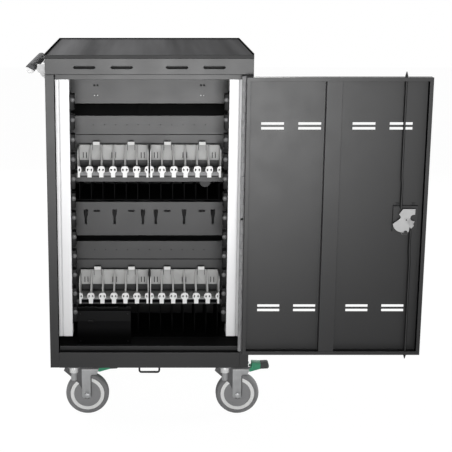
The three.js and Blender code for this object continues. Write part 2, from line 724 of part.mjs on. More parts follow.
// The same piece for the other side of the cabinet when sign is -1
function mirrored(geometry, sign) {
  if (sign > 0) {
    return geometry;
  }
  return toGeometry(toSolid(geometry).mirror([1, 0, 0]));
}

// Laptop side

// A shelf with upright fins between the laptops
function laptopRack(z) {
  const front = PARTITION_Y + SHEET + PANEL_FLANGE + RACK_FRONT_GAP;
  const back = farY(STILE_RETURN + SHEET + RACK_DOOR_GAP);
  const pieces = [block(-fitHalf, fitHalf, front, back, z, z + RACK_SHEET)];
  const finFront = front + FIN_SETBACK;
  for (let i = 0; i <= LAPTOP_SLOTS; i += 1) {
    const x = (i - LAPTOP_SLOTS / 2) * FIN_PITCH;
    const half = FIN_THICKNESS / 2;
    const finFoot = z + RACK_SHEET / 2;
    const finTop = z + RACK_SHEET + FIN_HEIGHT;
    pieces.push(block(x - half, x + half, finFront, finFront + FIN_DEPTH, finFoot, finTop));
  }
  return join(...pieces);
}

// Push handle on the left side, and the loop under the base that a security chain goes through

// A foot on the cabinet's side with a gusset that ends in a saddle behind the bar
function handleBracket() {
  const wall = -halfWidth - SEAT_GAP;
  const axisX = -halfWidth - HANDLE_STAND_OFF;
  const [bottom, top] = [handleZ - BRACKET_DROP, handleZ + BRACKET_RISE];
  const half = BRACKET_FOOT_WIDTH / 2;
  const foot = block(wall - BRACKET_SHEET, wall, -half, half, bottom, top);
  const root = wall - BRACKET_SHEET / 2;
  const arm = outline([
    [root, bottom], [root, top], [axisX + HANDLE_RADIUS / 2, top],
    [axisX + HANDLE_RADIUS / 2, handleZ - BRACKET_RISE],
  ]);
  const gusset = plateFacingY(arm, -BRACKET_SHEET / 2, BRACKET_SHEET / 2);
  const bore = rodAlongY(HANDLE_RADIUS + SEAT_GAP, axisX, -half, half, handleZ, 16);
  return cut(join(foot, gusset), [bore]);
}

function pushHandle() {
  const group = new THREE.Group();
  const axisX = -halfWidth - HANDLE_STAND_OFF;
  const [y0, y1] = [HANDLE_INSET, farY(HANDLE_FAR_INSET)];
  add(group, 'push_handle_bar', rodAlongY(HANDLE_RADIUS, axisX, y0, y1, handleZ, 16), handleGrey);
  const near = add(group, 'near_handle_bracket', handleBracket(), zinc);
  near.position.y = y0 + BRACKET_INSET;
  const far = add(group, 'far_handle_bracket', handleBracket(), zinc);
  far.position.y = y1 - BRACKET_INSET;
  return group;
}

function securityLoop() {
  const half = LOOP_WIDTH / 2 - LOOP_ROD_RADIUS;
  const top = BASE_UNDERSIDE - SEAT_GAP;
  const bottom = BASE_UNDERSIDE - LOOP_DROP + LOOP_ROD_RADIUS;
  const path = new THREE.CurvePath();
  const at = (x, z) => new THREE.Vector3(x, LOOP_Y, z);
  path.add(new THREE.LineCurve3(at(-half, top), at(-half, bottom + LOOP_CORNER)));
  path.add(new THREE.QuadraticBezierCurve3(
    at(-half, bottom + LOOP_CORNER), at(-half, bottom), at(LOOP_CORNER - half, bottom),
  ));
  path.add(new THREE.LineCurve3(at(LOOP_CORNER - half, bottom), at(half - LOOP_CORNER, bottom)));
  path.add(new THREE.QuadraticBezierCurve3(
    at(half - LOOP_CORNER, bottom), at(half, bottom), at(half, bottom + LOOP_CORNER),
  ));
  path.add(new THREE.LineCurve3(at(half, bottom + LOOP_CORNER), at(half, top)));
  const section = new THREE.Shape();
  section.absarc(0, 0, LOOP_ROD_RADIUS, 0, 2 * Math.PI, false);
  return new THREE.ExtrudeGeometry(section, { steps: 24, curveSegments: 3, extrudePath: path });
}

// Doors, drawn closed with the hinge pin on X = 0 and Y = 0 and the door running towards -X

const doorFace = HINGE_STAND_OFF;
const doorEdge = -HINGE_OUTSET;
const doorFreeEdge = doorEdge - 2 * doorHalf;
const doorMiddle = doorEdge - doorHalf;
const skinInside = doorFace + DOOR_SHEET;

function ventTools() {
  const tools = [];
  for (const x of VENT_OFFSETS) {
    for (const middle of [doorTop - VENT_FROM_TOP, doorBottom + VENT_FROM_BOTTOM]) {
      for (const row of [-0.5, 0.5]) {
        const z = middle + row * VENT_PITCH;
        const [x0, x1] = [doorMiddle + x - VENT_LENGTH / 2, doorMiddle + x + VENT_LENGTH / 2];
        tools.push(block(x0, x1, doorFace - 1, skinInside + 1, z - VENT_WIDTH / 2, z + VENT_WIDTH / 2));
      }
    }
  }
  return tools;
}

function doorPan(extraTools) {
  const back = doorFace + DOOR_DEPTH;
  const shell = block(doorFreeEdge, doorEdge, doorFace, back, doorBottom, doorTop);
  const hollow = block(
    doorFreeEdge + DOOR_SHEET, doorEdge - DOOR_SHEET, skinInside, back - DOOR_SHEET,
    doorBottom + DOOR_SHEET, doorTop - DOOR_SHEET,
  );
  const mouth = block(
    doorFreeEdge + DOOR_LIP, doorEdge - DOOR_LIP, back - 2 * DOOR_SHEET, back + 1,
    doorBottom + DOOR_LIP, doorTop - DOOR_LIP,
  );
  return cut(shell, [hollow, mouth, ...ventTools(), ...extraTools]);
}

// A channel between the skin and the lips, as long as the door lets it be
function doorStiffener() {
  const middle = doorMiddle + STIFFENER_OFFSET;
  const gap = DOOR_SHEET + SEAT_GAP;
  const [x0, x1] = [middle - STIFFENER_WIDTH / 2, middle + STIFFENER_WIDTH / 2];
  const [y0, y1] = [doorFace + gap, doorFace + DOOR_DEPTH - gap];
  const [z0, z1] = [doorBottom + gap, doorTop - gap];
  const channel = block(x0 + DOOR_SHEET, x1 - DOOR_SHEET, y0 - 1, y1 - DOOR_SHEET, z0 - 1, z1 + 1);
  return cut(block(x0, x1, y0, y1, z0, z1), [channel]);
}

// One leaf of the long hinge with every second knuckle, starting at the given one
function hingeLeaf(direction, firstKnuckle) {
  const pitch = (doorTop - doorBottom) / KNUCKLE_COUNT;
  const face = doorFace - SEAT_GAP;
  const ends = [0, direction * (KNUCKLE_RADIUS + LEAF_WIDTH)].sort((a, b) => a - b);
  const pieces = [block(...ends, face - LEAF_SHEET, face, doorBottom, doorTop)];
  const tools = [];
  for (let i = 0; i < KNUCKLE_COUNT; i += 1) {
    const [z0, z1] = [doorBottom + i * pitch, doorBottom + (i + 1) * pitch];
    if ((i - firstKnuckle) % 2 === 0) {
      pieces.push(rodAlongZ(KNUCKLE_RADIUS, 0, 0, z0 + KNUCKLE_GAP / 2, z1 - KNUCKLE_GAP / 2, 8));
    } else {
      const reach = KNUCKLE_RADIUS + 1;
      const gap = KNUCKLE_GAP / 2;
      tools.push(block(-reach, reach, -reach, face + 1, z0 - gap, z1 + gap));
    }
  }
  return cut(join(...pieces), tools);
}

function doorHingeLeaf() {
  const bore = rodAlongZ(HINGE_BORE_RADIUS, 0, 0, doorBottom - 1, doorTop + 1, 8);
  return cut(hingeLeaf(-1, 1), [bore]);
}

// The leaf that stays on the cabinet, with the pin pressed into its knuckles
function frameHingeLeaf() {
  const pin = rodAlongZ(HINGE_PIN_RADIUS, 0, 0, doorBottom + KNUCKLE_GAP, doorTop - KNUCKLE_GAP, 8);
  return join(hingeLeaf(1, 0), pin);
}

// The charger door's lock

const lockX = doorFreeEdge + LOCK_EDGE_DISTANCE;
const rodY = doorFace + ROD_DEPTH;
const upperRodX = lockX + ROD_OFFSET;
const lowerRodX = lockX - ROD_OFFSET;

function spindleTool(y0, y1) {
  return rodAlongY(SPINDLE_RADIUS + SPINDLE_CLEARANCE, lockX, y0, y1, LOCK_HEIGHT, 12);
}

function rodHoleTools() {
  const r = ROD_RADIUS + ROD_CLEARANCE;
  const hole = (x, z) => block(x - r, x + r, rodY - r, rodY + r, z - 2 * DOOR_SHEET, z + 2 * DOOR_SHEET);
  return [hole(upperRodX, doorTop), hole(lowerRodX, doorBottom)];
}

function lockCase() {
  const y0 = skinInside + SEAT_GAP;
  const [w, h] = [LOCK_CASE_WIDTH / 2, LOCK_CASE_HEIGHT / 2];
  const ear = LOCK_CASE_EAR;
  const [bottom, top] = [LOCK_HEIGHT - h, LOCK_HEIGHT + h];
  const body = join(
    block(lockX - w, lockX + w, y0, y0 + LOCK_CASE_DEPTH, bottom, top),
    block(lockX - w + ear, lockX - w + 2 * ear, y0, y0 + SHEET, top - 1, top + ear),
    block(lockX + w - 2 * ear, lockX + w - ear, y0, y0 + SHEET, top - 1, top + ear),
    block(lockX - ear, lockX + ear, y0, y0 + LOCK_CASE_DEPTH, bottom - ear, bottom + 1),
  );
  return cut(body, [spindleTool(y0 - 1, y0 + LOCK_CASE_DEPTH + 1)]);
}

// The cam plate and spindle, with the plate's stops, spring notch and rod notch in its edge
function lockCam() {
  const [top, side] = [30, 24];
  const plate = new THREE.Shape();
  plate.moveTo(-side, top);
  plate.lineTo(9, top);
  plate.lineTo(20, 15);
  plate.absarc(21, 7, 6, Math.PI / 2 + 0.6, 1.5 * Math.PI - 0.4, false);
  plate.lineTo(36, -12);
  plate.absarc(8, -8, 28, -0.15, -0.5 * Math.PI, true);
  plate.absarc(0, -35, 5, 0, Math.PI, false);
  plate.lineTo(-9, -34);
  plate.lineTo(-10, -20);
  plate.lineTo(-15, -25);
  plate.lineTo(-22, -17);
  plate.lineTo(-20, -12);
  plate.lineTo(-23, -4);
  plate.absarc(-20, 5, 9, -0.5 * Math.PI, 0.5 * Math.PI, false);
  plate.lineTo(-side, 14);
  const y0 = doorFace + CAM_STAND_OFF;
  const sheet = plateFacingY(plate, y0, y0 + CAM_SHEET).translate(lockX, 0, LOCK_HEIGHT);
  const outside = doorFace - LOCK_HANDLE_STAND_OFF + 1;
  return join(sheet, rodAlongY(SPINDLE_RADIUS, lockX, outside, y0 + CAM_SHEET + 2, LOCK_HEIGHT, 12));
}

// A lever on a round rose outside the door, bored for the spindle
function lockLever(pivotX, pivotZ) {
  const face = doorFace - SEAT_GAP;
  const back = doorFace - LOCK_HANDLE_STAND_OFF;
  const half = LOCK_HANDLE_WIDTH / 2;
  const lever = new THREE.Shape();
  lever.absarc(0, 0, half, 0, Math.PI, false);
  lever.absarc(0, half - LOCK_HANDLE_LENGTH, half * 0.8, Math.PI, 2 * Math.PI, false);
  const grip = plateFacingY(lever, back - LOCK_HANDLE_DEPTH, back).translate(pivotX, 0, pivotZ);
  const rose = rodAlongY(LOCK_ROSE_RADIUS, pivotX, back - 2, face, pivotZ, 16);
  return join(rose, grip);
}

function lockHandle() {
  const bore = rodAlongY(
    SPINDLE_RADIUS + SEAT_GAP, lockX, doorFace - LOCK_HANDLE_STAND_OFF, doorFace, LOCK_HEIGHT, 12,
  );
  return cut(lockLever(lockX, LOCK_HEIGHT), [bore]);
}

// A round lock rod with a tapered tip, from z0 to its tip at z1
function lockRod(x, z0, z1) {
  const length = Math.abs(z1 - z0);
  const tip = new THREE.Vector2(ROD_RADIUS / 4, length);
  const profile = [
    new THREE.Vector2(0, 0), new THREE.Vector2(ROD_RADIUS, 0),
    new THREE.Vector2(ROD_RADIUS, length - ROD_TIP_LENGTH), tip, new THREE.Vector2(0, length),
  ];
  const geometry = new THREE.LatheGeometry(profile, 10);
  return geometry.rotateX(z1 > z0 ? Math.PI / 2 : -Math.PI / 2).translate(x, rodY, z0);
}

function chargerDoor() {
  const group = new THREE.Group();
  const pan = doorPan([...rodHoleTools(), spindleTool(doorFace - 1, skinInside + 1)]);
  add(group, 'charger_door_pan', pan, graphite);
  add(group, 'charger_door_stiffener', doorStiffener(), graphite);
  add(group, 'charger_door_hinge_leaf', doorHingeLeaf(), zinc);
  add(group, 'lock_case', lockCase(), blackSteel);
  add(group, 'lock_cam', lockCam(), zinc);
  add(group, 'lock_handle', lockHandle(), blackPlastic);
  const upperStart = LOCK_HEIGHT + ROD_LOCK_GAP;
  const lowerStart = LOCK_HEIGHT - ROD_LOCK_GAP;
  add(group, 'upper_lock_rod', lockRod(upperRodX, upperStart, doorTop + UPPER_ROD_REACH), blackSteel);
  add(group, 'lower_lock_rod', lockRod(lowerRodX, lowerStart, doorBottom - LOWER_ROD_REACH), blackSteel);
  return group;
}

// The laptop door has a plain turning lock: lever, spindle and one cam in a single casting
function laptopLock() {
  const inside = doorFace + STILE_RETURN + LAPTOP_CAM_CLEARANCE;
  const half = LOCK_HANDLE_WIDTH / 2;
  const reach = DOOR_CLEARANCE_SIDE + LOCK_EDGE_DISTANCE + LAPTOP_CAM_LAP;
  return join(
    lockLever(lockX, LOCK_HEIGHT),
    rodAlongY(SPINDLE_RADIUS, lockX, doorFace - LOCK_HANDLE_STAND_OFF, inside + SHEET / 2, LOCK_HEIGHT, 12),
    block(lockX - half, lockX + half, inside, inside + SHEET, LOCK_HEIGHT - half, LOCK_HEIGHT + reach),
  );
}

function laptopDoor() {
  const group = new THREE.Group();
  add(group, 'laptop_door_pan', doorPan([spindleTool(doorFace - 1, skinInside + 1)]), graphite);
  add(group, 'laptop_door_stiffener', doorStiffener(), graphite);
  add(group, 'laptop_door_hinge_leaf', doorHingeLeaf(), zinc);
  add(group, 'laptop_lock_lever', laptopLock(), blackPlastic);
  return group;
}

// Casters, drawn round a kingpin on X = 0 and Y = 0 with the wheel trailing towards +X

function casterPlate() {
  const top = BASE_UNDERSIDE - SEAT_GAP;
  const [l, w] = [CASTER_PLATE_LENGTH / 2, CASTER_PLATE_WIDTH / 2];
  const under = top - CASTER_PLATE_SHEET;
  const crownUnder = CROWN_TOP - CROWN_SHEET;
  const nutTop = crownUnder - KINGPIN_CLEARANCE;
  return join(
    block(-l, l, -w, w, under, top),
    rodAlongZ(RACE_RADIUS, 0, 0, under - RACE_HEIGHT + SEAT_GAP, under + 1, 16),
    rodAlongZ(KINGPIN_RADIUS, 0, 0, nutTop - 1, under, 12),
    rodAlongZ(KINGPIN_NUT_RADIUS, 0, 0, nutTop - KINGPIN_NUT_HEIGHT, nutTop, 6),
  );
}

// A pressed fork leg: wide at the crown and narrow round the axle
function forkLeg() {
  const shape = new THREE.Shape();
  const r = LEG_END_RADIUS;
  shape.moveTo(BEAD_SINK - CROWN_RADIUS, CROWN_TOP);
  shape.lineTo(-CROWN_RADIUS, CROWN_TOP - LEG_SHOULDER);
  shape.lineTo(CASTER_TRAIL - r - LEG_SHOULDER, CROWN_TOP - LEG_TAPER);
  shape.lineTo(CASTER_TRAIL - r, axleZ + r);
  shape.absarc(CASTER_TRAIL, axleZ, r, Math.PI, 2 * Math.PI, false);
  shape.lineTo(CASTER_TRAIL + r, CROWN_TOP - LEG_ARM_DROP - 2);
  shape.lineTo(PEDAL_PIVOT_X, CROWN_TOP - LEG_ARM_DROP);
  shape.lineTo(PEDAL_PIVOT_X + LEG_ARM_REACH, CROWN_TOP);
  return shape;
}

// The flat brace outside each leg: a strip down to the axle with an arm towards the pedal
function forkBrace() {
  const [left, right] = [CASTER_TRAIL - BRACE_BEHIND_AXLE, CASTER_TRAIL + BRACE_AHEAD_OF_AXLE];
  const [bottom, top] = [axleZ - BRACE_BELOW_AXLE, CROWN_TOP - BRACE_TOP_DROP];
  const armBottom = CROWN_TOP - BRACE_ARM_DROP;
  const corner = BRACE_CORNER;
  return outline([
    [left, top], [left, bottom + corner], [left + corner, bottom], [right, bottom],
    [right, armBottom - corner], [right + corner, armBottom], [PEDAL_PIVOT_X, armBottom],
    [PEDAL_PIVOT_X + 2 * corner - 2, top],
  ]);
}

function casterFork() {
  const half = FORK_GAP / 2;
  const outer = half + FORK_SHEET;
  const crownUnder = CROWN_TOP - CROWN_SHEET;
  const crownSpan = [2 * BEAD_SINK - CROWN_RADIUS, PEDAL_PIVOT_X + BEAD_SINK];
  const pieces = [
    rodAlongZ(CROWN_RADIUS, 0, 0, crownUnder, CROWN_DISC_TOP, 16),
    block(...crownSpan, -half - 1, half + 1, crownUnder, CROWN_TOP),
  ];
  for (const side of [-1, 1]) {
    const span = (from, to) => [side * from, side * to].sort((a, b) => a - b);
    const beadY = side * (outer - BEAD_SINK);
    const bead = join(
      rodAlongZ(BEAD_RADIUS, 0, beadY, CROWN_TOP - BEAD_LENGTH, crownUnder + 1, 16),
      rodAlongZ(COLLAR_RADIUS, 0, beadY, CROWN_TOP - COLLAR_LENGTH, crownUnder + 2, 16),
    );
    const reach = 2 * COLLAR_RADIUS;
    const wheelRoom = block(-reach, reach, ...span(-outer, half + 1), 0, CROWN_DISC_TOP + 1);
    pieces.push(
      plateFacingY(forkLeg(), ...span(half, outer)),
      plateFacingY(forkBrace(), ...span(outer - 1, outer + BRACE_SHEET)),
      cut(bead, [wheelRoom]),
    );
  }
  const out = outer + BRACE_SHEET + 1;
  const bores = [
    rodAlongZ(KINGPIN_RADIUS + KINGPIN_CLEARANCE, 0, 0, crownUnder - 1, CROWN_DISC_TOP + 1, 12),
    rodAlongY(AXLE_RADIUS + SEAT_GAP, CASTER_TRAIL, -out, out, axleZ, 12),
  ];
  return cut(join(...pieces), bores);
}

// A wheel spun about its axle, with the pale ring set in between the tread and the hub cover
function casterWheel() {
  const half = WHEEL_WIDTH / 2;
  const flank = [
    [HUB_BORE_RADIUS, half], [RING_INNER_RADIUS, half], [RING_INNER_RADIUS + 1, half - RING_RECESS],
    [RING_OUTER_RADIUS, half - RING_RECESS], [RING_OUTER_RADIUS + 1, half],
    [WHEEL_RADIUS - TREAD_ROUND, half], [WHEEL_RADIUS, half - TREAD_ROUND],
  ];
  const section = [...flank.map(([r, y]) => [r, -y]), ...flank.reverse()];
  const profile = [...section, section[0]].map(([r, y]) => new THREE.Vector2(r, y));
  return new THREE.LatheGeometry(profile, 24).translate(CASTER_TRAIL, 0, axleZ);
}

function casterAxle() {
  const reach = FORK_GAP / 2 + FORK_SHEET + BRACE_SHEET + SEAT_GAP;
  const head = (y0, y1) => rodAlongY(AXLE_HEAD_RADIUS, CASTER_TRAIL, y0, y1, axleZ, 6);
  return join(
    rodAlongY(AXLE_RADIUS, CASTER_TRAIL, -reach - 1, reach + 1, axleZ, 12),
    head(-reach - AXLE_HEAD_HEIGHT, -reach),
    head(reach, reach + AXLE_HEAD_HEIGHT),
  );
}

// The brake pedal on its pivot pin between the fork legs, with a blunt toe
function brakePedal() {
  const [x, z, r] = [PEDAL_PIVOT_X, PEDAL_PIVOT_Z, PEDAL_PIN_RADIUS];
  const rootTop = CROWN_TOP - CROWN_SHEET - SEAT_GAP;
  const clearX = x + 3 * r;
  const [tipX, tipTop, tipBottom] = [PEDAL_TIP_X, PEDAL_TIP_Z, PEDAL_TIP_Z - PEDAL_THICKNESS];
  const toeX = tipX - PEDAL_TOE_LENGTH;
  const shape = outline([
    [x - 2 * r, z - r], [x + 2 * r, PEDAL_HEEL_BOTTOM], [toeX, tipBottom - r / 4],
    [tipX - r, tipBottom], [tipX, tipBottom + r], [tipX - r / 4, tipTop - r], [tipX - r, tipTop],
    [toeX, tipTop - r / 4], [clearX, tipTop], [clearX, rootTop], [x, rootTop - r / 2], [x - 2 * r, z + r],
  ]);
  const reach = FORK_GAP / 2 - SEAT_GAP;
  return join(
    plateFacingY(shape, -PEDAL_WIDTH / 2, PEDAL_WIDTH / 2),
    rodAlongY(r, x, -reach, reach, z, 10),
  );
}

function caster(name, braked) {
  const group = new THREE.Group();
  add(group, `${name}_caster_plate`, casterPlate(), zinc);
  add(group, `${name}_caster_fork`, casterFork(), zinc);
  add(group, `${name}_caster_wheel`, casterWheel(), wheelGrey);
  add(group, `${name}_caster_axle`, casterAxle(), zinc);
  if (braked) {
    add(group, `${name}_brake_pedal`, brakePedal(), pedalGreen);
  }
  return group;
}

// Assembly

add(cart, 'base_pan', basePan(), graphiteDark);
add(cart, 'left_side_panel', sidePanel(-1), graphite);
add(cart, 'right_side_panel', cut(sidePanel(1), [inletHole()]), graphite);
add(cart, 'top_lid', topLid(), graphite);
cart.add(chargerSide());
cart.add(powerFittings());
add(cart, 'upper_laptop_rack', laptopRack(UPPER_RACK_Z), graphiteDark);
add(cart, 'lower_laptop_rack', laptopRack(floorTop + SEAT_GAP), graphiteDark);
cart.add(pushHandle());
add(cart, 'security_loop', securityLoop(), blackSteel);

// The charger door stands swung back through half a turn, and the laptop door is shut
const nearHinge = new THREE.Group();
nearHinge.position.set(hingeX, -HINGE_STAND_OFF, 0);
add(nearHinge, 'charger_frame_hinge_leaf', frameHingeLeaf(), zinc);
const openDoor = chargerDoor();
openDoor.rotation.z = Math.PI;
nearHinge.add(openDoor);
cart.add(nearHinge);

const farHinge = new THREE.Group();
farHinge.position.set(-hingeX, CABINET_DEPTH + HINGE_STAND_OFF, 0);
farHinge.rotation.z = Math.PI;
add(farHinge, 'laptop_frame_hinge_leaf', frameHingeLeaf(), zinc);
farHinge.add(laptopDoor());
cart.add(farHinge);

const casterX = halfWidth - CASTER_INSET_X;
for (const [side, x] of [['left', -casterX], ['right', casterX]]) {
  for (const [end, y, braked] of [['near', CASTER_INSET_Y, true], ['far', farY(CASTER_INSET_Y), false]]) {
    const unit = caster(`${end}_${side}`, braked);
    unit.position.set(x, y, 0);
    cart.add(unit);
  }
}

// Centre the footprint on the origin
const footprint = new THREE.Box3().setFromObject(cart).getCenter(new THREE.Vector3());
cart.position.set(-footprint.x, -footprint.y, 0);

export default cart;
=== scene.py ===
"""Looks of a laptop charging cart: sheet steel cabinet on casters, charger door swung wide open."""

from __future__ import annotations

import logging
import math
from collections.abc import Callable, Iterable, Sequence
from dataclasses import dataclass, field
from enum import Enum

import bmesh
import bpy
from mathutils import Matrix, Vector

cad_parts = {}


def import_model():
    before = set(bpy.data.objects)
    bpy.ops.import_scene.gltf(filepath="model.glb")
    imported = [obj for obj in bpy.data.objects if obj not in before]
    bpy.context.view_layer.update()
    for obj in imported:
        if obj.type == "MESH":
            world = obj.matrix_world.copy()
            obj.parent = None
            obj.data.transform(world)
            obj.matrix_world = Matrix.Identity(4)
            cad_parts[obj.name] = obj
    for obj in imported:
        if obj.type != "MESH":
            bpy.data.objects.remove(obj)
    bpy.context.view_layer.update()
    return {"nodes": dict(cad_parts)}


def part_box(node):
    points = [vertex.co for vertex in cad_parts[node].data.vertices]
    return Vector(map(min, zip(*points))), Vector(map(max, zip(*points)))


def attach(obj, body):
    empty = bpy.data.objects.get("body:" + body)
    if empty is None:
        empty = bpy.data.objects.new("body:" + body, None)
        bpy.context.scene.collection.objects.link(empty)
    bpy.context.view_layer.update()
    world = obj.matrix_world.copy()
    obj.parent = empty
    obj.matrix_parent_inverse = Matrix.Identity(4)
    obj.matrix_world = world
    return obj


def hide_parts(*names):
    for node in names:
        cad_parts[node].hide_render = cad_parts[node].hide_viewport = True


LOG = logging.getLogger("charging_cart")
MM = 0.001
IMAGE_SIDE = 452
HINGE_X = 253.1
WELD = 0.00002
FLAT_SHADED = 5.0
Color = tuple[float, float, float]
Profile = Sequence[tuple[float, float]]


def srgb(red: int, green: int, blue: int) -> Color:
    """A linear colour from the 0 to 255 values that a screen shows."""

    def linear(value: int) -> float:
        """One channel."""
        share = value / 255
        return share / 12.92 if share <= 0.04045 else ((share + 0.055) / 1.055) ** 2.4

    return linear(red), linear(green), linear(blue)


class Grain(Enum):
    """How the fine relief of a surface runs, as a stretch of its pattern."""

    PEBBLED = (1.0, 1.0, 1.0)
    UPRIGHT = (1.0, 1.0, 0.02)
    LEVEL = (0.02, 1.0, 1.0)


class Facing(Enum):
    """The way that a small part points."""

    NEAR = ("Y", -1)
    FAR = ("Y", 1)
    LEFT = ("X", -1)
    RIGHT = ("X", 1)
    DOWN = ("Z", -1)
    UP = ("Z", 1)

    @property
    def turn(self) -> Matrix:
        """The turn that brings +Z to this way."""
        axis, sign = self.value
        if axis == "X":
            return Matrix.Rotation(sign * math.pi / 2, 4, "Y")
        if axis == "Y":
            return Matrix.Rotation(-sign * math.pi / 2, 4, "X")
        return Matrix.Rotation(0 if sign > 0 else math.pi, 4, "X")


@dataclass(frozen=True)
class Finish:
    """One surface finish, with the sizes of its colour drift and fine relief in metres."""

    name: str
    color: Color
    roughness: float
    metallic: float = 0.0
    gloss: float = 0.5
    grain: Grain = Grain.PEBBLED
    grain_size: float = 0.0012
    grain_depth: float = 0.00003
    drift: float = 0.08
    drift_size: float = 0.16
    drift_stretch: tuple[float, float, float] = (1.0, 1.0, 1.0)

    def build(self) -> bpy.types.Material:
        """Builds the node material of this finish.

        Returns:
            The new material.
        """
        material = bpy.data.materials.new(self.name)
        material.use_nodes = True
        tree = material.node_tree
        shader = next(node for node in tree.nodes if node.type == "BSDF_PRINCIPLED")
        shader.inputs["Metallic"].default_value = self.metallic
        shader.inputs["Specular IOR Level"].default_value = self.gloss
        self._add_color(tree, shader)
        self._add_roughness(tree, shader)
        self._add_relief(tree, shader)
        return material

    def _noise(self, tree: bpy.types.NodeTree, size: float, detail: float,
               stretch: tuple[float, float, float] = (1.0, 1.0, 1.0)) -> bpy.types.NodeSocket:
        """Adds noise on the piece's own coordinates.

        Args:
            tree: The material's tree.
            size: About how wide a feature is, in metres.
            detail: How many finer layers the noise has.
            stretch: Scale of the pattern along each axis; below one draws it out.

        Returns:
            The noise value.
        """
        coords = tree.nodes.new("ShaderNodeTexCoord")
        mapping = tree.nodes.new("ShaderNodeMapping")
        mapping.inputs["Scale"].default_value = stretch
        noise = tree.nodes.new("ShaderNodeTexNoise")
        noise.inputs["Scale"].default_value = 1 / size
        noise.inputs["Detail"].default_value = detail
        tree.links.new(coords.outputs["Object"], mapping.inputs["Vector"])
        tree.links.new(mapping.outputs["Vector"], noise.inputs["Vector"])
        return noise.outputs["Fac"]

    def _add_color(self, tree: bpy.types.NodeTree, shader: bpy.types.Node) -> None:
        """Lets the colour drift a little over the surface."""
        ramp = tree.nodes.new("ShaderNodeValToRGB")
        low, high = ramp.color_ramp.elements
        low.position = 0.3
        high.position = 0.7
        low.color = (*(value * (1 - self.drift) for value in self.color), 1)
        high.color = (*(min(value * (1 + self.drift), 1) for value in self.color), 1)
        tree.links.new(self._noise(tree, self.drift_size, 3.0, self.drift_stretch), ramp.inputs["Fac"])
        tree.links.new(ramp.outputs["Color"], shader.inputs["Base Color"])

    def _add_roughness(self, tree: bpy.types.NodeTree, shader: bpy.types.Node) -> None:
        """Lets the gloss vary softly, as handling and dust leave it."""
        spread = tree.nodes.new("ShaderNodeMapRange")
        spread.inputs["To Min"].default_value = max(self.roughness - 0.05, 0.04)
        spread.inputs["To Max"].default_value = min(self.roughness + 0.05, 1)
        tree.links.new(self._noise(tree, self.drift_size * 0.4, 5.0), spread.inputs["Value"])
        tree.links.new(spread.outputs["Result"], shader.inputs["Roughness"])

    def _add_relief(self, tree: bpy.types.NodeTree, shader: bpy.types.Node) -> None:
        """Adds the orange peel, moulding texture or drawing lines as a bump."""
        bump = tree.nodes.new("ShaderNodeBump")
        bump.inputs["Distance"].default_value = self.grain_depth
        bump.inputs["Strength"].default_value = 0.6
        tree.links.new(self._noise(tree, self.grain_size, 2.0, self.grain.value), bump.inputs["Height"])
        tree.links.new(bump.outputs["Normal"], shader.inputs["Normal"])


CHARCOAL = Finish("charcoal_powder_coat", srgb(20, 20, 21), 0.44, grain_size=0.0016)
CHARCOAL_EDGE = Finish("charcoal_rubbed_edge", srgb(50, 50, 52), 0.42, grain_size=0.0016, drift=0.35,
                       drift_size=0.03)
# A lighter copy of the charcoal paint for the partition panels and trays: painted light for their dim place inside.
PANEL_COAT_PAINTED_LIGHTER = Finish("panel_coat_painted_lighter", srgb(42, 42, 43), 0.46, grain_size=0.0016)
# A less glossy copy of the charcoal paint: the darker band round the deck, and painted shadow at the seam under the
# lid's front.
DECK_BAND_AND_SEAM_SHADOW = Finish("deck_band_and_seam_shadow", srgb(20, 20, 21), 0.5, gloss=0.24, grain_size=0.0016)
# A paler copy of the paint for the deck's top, with long streaks: painted light and sheen on the top.
DECK_TOP_PAINTED_LIGHT = Finish("deck_top_painted_light", srgb(110, 110, 111), 0.8, gloss=0.0, grain_size=0.0016, drift=0.26,
                  drift_size=0.06, drift_stretch=(1.0, 0.05, 1.0))
# Near black for the laptop racks and the foot of the power unit: painted shade deep in the cabinet.
INNER_SHADE_PAINT = Finish("inner_painted_shade", srgb(24, 24, 25), 0.75, gloss=0.05, grain_size=0.0016)
# A paler, duller copy of the charcoal paint for the base's floor: its paleness is painted light for the dim inside.
FLOOR_COAT_PAINTED_LIGHT = Finish("base_floor_painted_light", srgb(58, 58, 59), 0.75, gloss=0.05, grain_size=0.0016)
# A paler, dull copy of the paint for the inside of the laptop door: painted light for the dark cabinet.
DOOR_INSIDE_PAINTED_LIGHT = Finish("laptop_door_inside_painted_light", srgb(90, 90, 91), 0.75, gloss=0.1, grain_size=0.0016)
# Black for the deck's rim: painted shade of the rim's inner face.
RIM_SHADE_BLACK = Finish("deck_rim_painted_shade", srgb(16, 16, 17), 0.8, gloss=0.0, grain_size=0.001, drift=0.15)
SEAM_SHADOW_DARK = Finish("seam_shadow_gap", srgb(14, 14, 15), 0.8, gloss=0.0, drift=0.2, drift_size=0.03)
BLACK_STEEL = Finish("black_steel", srgb(22, 22, 23), 0.45, gloss=0.35, grain_size=0.001, drift=0.15)
UNIT_BLACK = Finish("power_unit_coat", srgb(21, 21, 22), 0.65, gloss=0.15, grain_size=0.0014, drift=0.1)
# Light greys for the hinge leaves, standing in for the sheen on the charcoal hinge: painted sheen, a tone apart for the
# frame's and the door's leaf.
HINGE_SHEEN_GREY = Finish("hinge_painted_sheen_grey", srgb(148, 148, 149), 0.6, gloss=0.1, grain=Grain.UPRIGHT,
                    grain_size=0.0006, grain_depth=0.00001, drift=0.1, drift_size=0.02)
HINGE_SHEEN_PALE = Finish("hinge_painted_sheen_pale", srgb(140, 140, 141), 0.6, gloss=0.1, grain=Grain.UPRIGHT,
                    grain_size=0.0006, grain_depth=0.00001, drift=0.1, drift_size=0.02)
ZINC = Finish("zinc_plate", srgb(178, 179, 180), 0.42, metallic=0.45, grain=Grain.LEVEL, grain_size=0.0006,
              grain_depth=0.00001, drift=0.07, drift_size=0.02)
